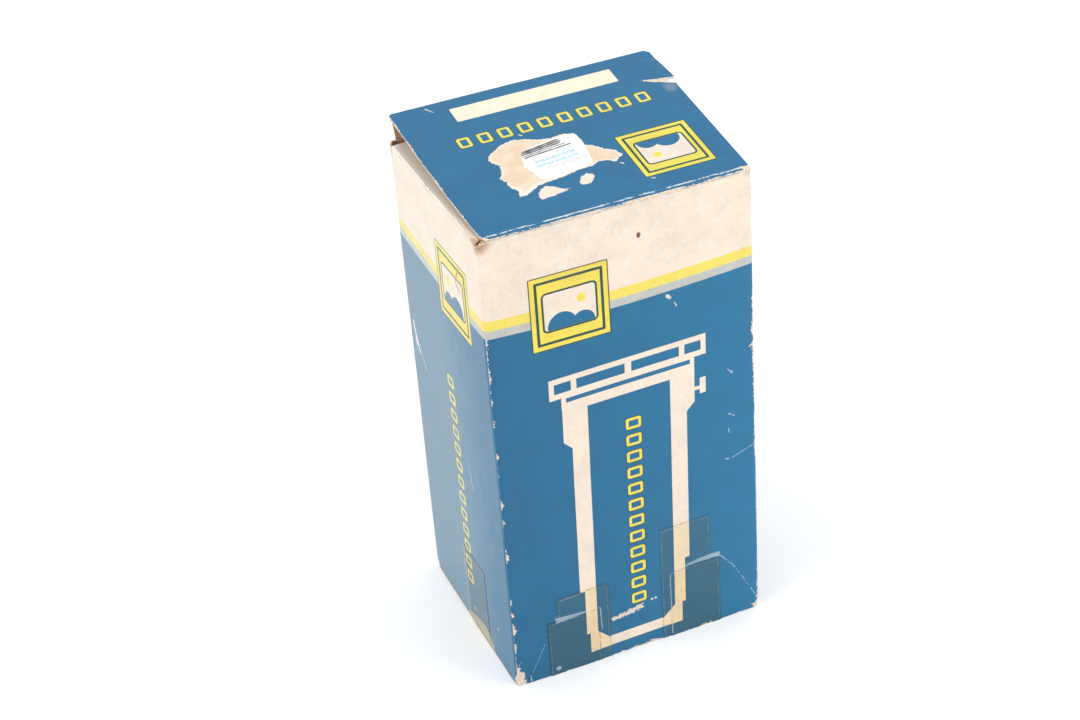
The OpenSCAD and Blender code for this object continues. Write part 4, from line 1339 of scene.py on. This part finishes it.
def felt_finish(name):
    f = Finish(name)
    point = f.place()
    fuzz = f.cloud(point, 0.22, 4, 0.75)
    lumps = f.cloud(point, 1.6, 2)
    colour = f.mix(fuzz, (0.008, 0.008, 0.009), (0.05, 0.05, 0.055))
    return f.shine(Base_Color=colour, Roughness=0.95, Normal=f.relief(fuzz + lumps, 0.12),
                   Sheen_Weight=0.35, Sheen_Roughness=0.6)


eased("main_tube", "main_tube_turned", 0.2, "tube_assembly", "black_anodised", black)
eased("felt_linings", "felt_bands", 0.2, "tube_assembly", "felt", felt_finish("black_felt"))
eased("glare_baffle", "glare_baffle_turned", 0.1, "tube_assembly", "black_anodised", black)


# ---------- Turning head and lock screw ----------
# The head turns on the main tube so that a slide can be set square. A knurled thumbscrew in its
# side locks it, and three countersunk screws hold the slide stage to its top.

screw_metal = satin_finish("screw_metal", False)
eased("head_collar", "head_collar_turned", 0.25, "head", "black_anodised", black)
eased("lock_screw", "lock_screw_knurled", 0.06, "lock_screw", "satin_metal", screw_metal, angle=25)
eased("head_screws", "head_screws_slotted", 0.04, "head", "satin_metal", screw_metal)


# ---------- Slide stage ----------
# A milled plate with the picture window, two rails and two bowed leaf springs that press the
# slide flat, under a frame with an opal sheet. Four countersunk screws hold it together.


def spring_finish(name):
    f = Finish(name)
    point = f.place()
    lines = f.cloud(f.stretched(point, 9.0, 0.3, 9.0), 1.0, 3)
    tarnish = (f.cloud(point, 4, 4) - 0.58).edge(0.15)
    colour = f.mix(lines, (0.48, 0.48, 0.49), (0.66, 0.66, 0.67))
    colour = f.mix(tarnish * 0.3, colour, (0.32, 0.26, 0.19))
    return f.shine(Base_Color=colour, Metallic=1.0, Roughness=0.2 + lines * 0.15 + tarnish * 0.15,
                   Normal=f.relief(lines, 0.01))


def opal_finish(name):
    f = Finish(name)
    point = f.place()
    cloudy = f.cloud(point, 10, 4)
    dust = (f.cloud(point, 0.7, 3) - 0.7).edge(0.06)
    colour = f.mix(cloudy, (0.86, 0.87, 0.85), (0.90, 0.90, 0.88))
    colour = f.mix(dust * 0.25, colour, (0.5, 0.48, 0.42))
    return f.shine(Base_Color=colour, Roughness=0.32 + cloudy * 0.12, Subsurface_Weight=0.2,
                   Subsurface_Radius=(0.002, 0.002, 0.002), Normal=f.relief(cloudy, 0.02))


milled = black_finish("black_milled", False)
eased("stage_plate", "stage_plate_milled", 0.2, "head", "black_anodised", milled)
eased("stage_rails", "stage_rails_milled", 0.15, "head", "black_anodised", milled)
eased("slide_springs", "slide_springs_bent", 0.03, "head", "steel", spring_finish("spring_steel"))
eased("diffuser_frame", "diffuser_frame_milled", 0.25, "head", "black_anodised", milled)
eased("diffuser", "diffuser_sheet", 0.1, "head", "opal", opal_finish("opal_sheet"))
eased("stage_screws", "stage_screws_slotted", 0.04, "head", "satin_metal", screw_metal)
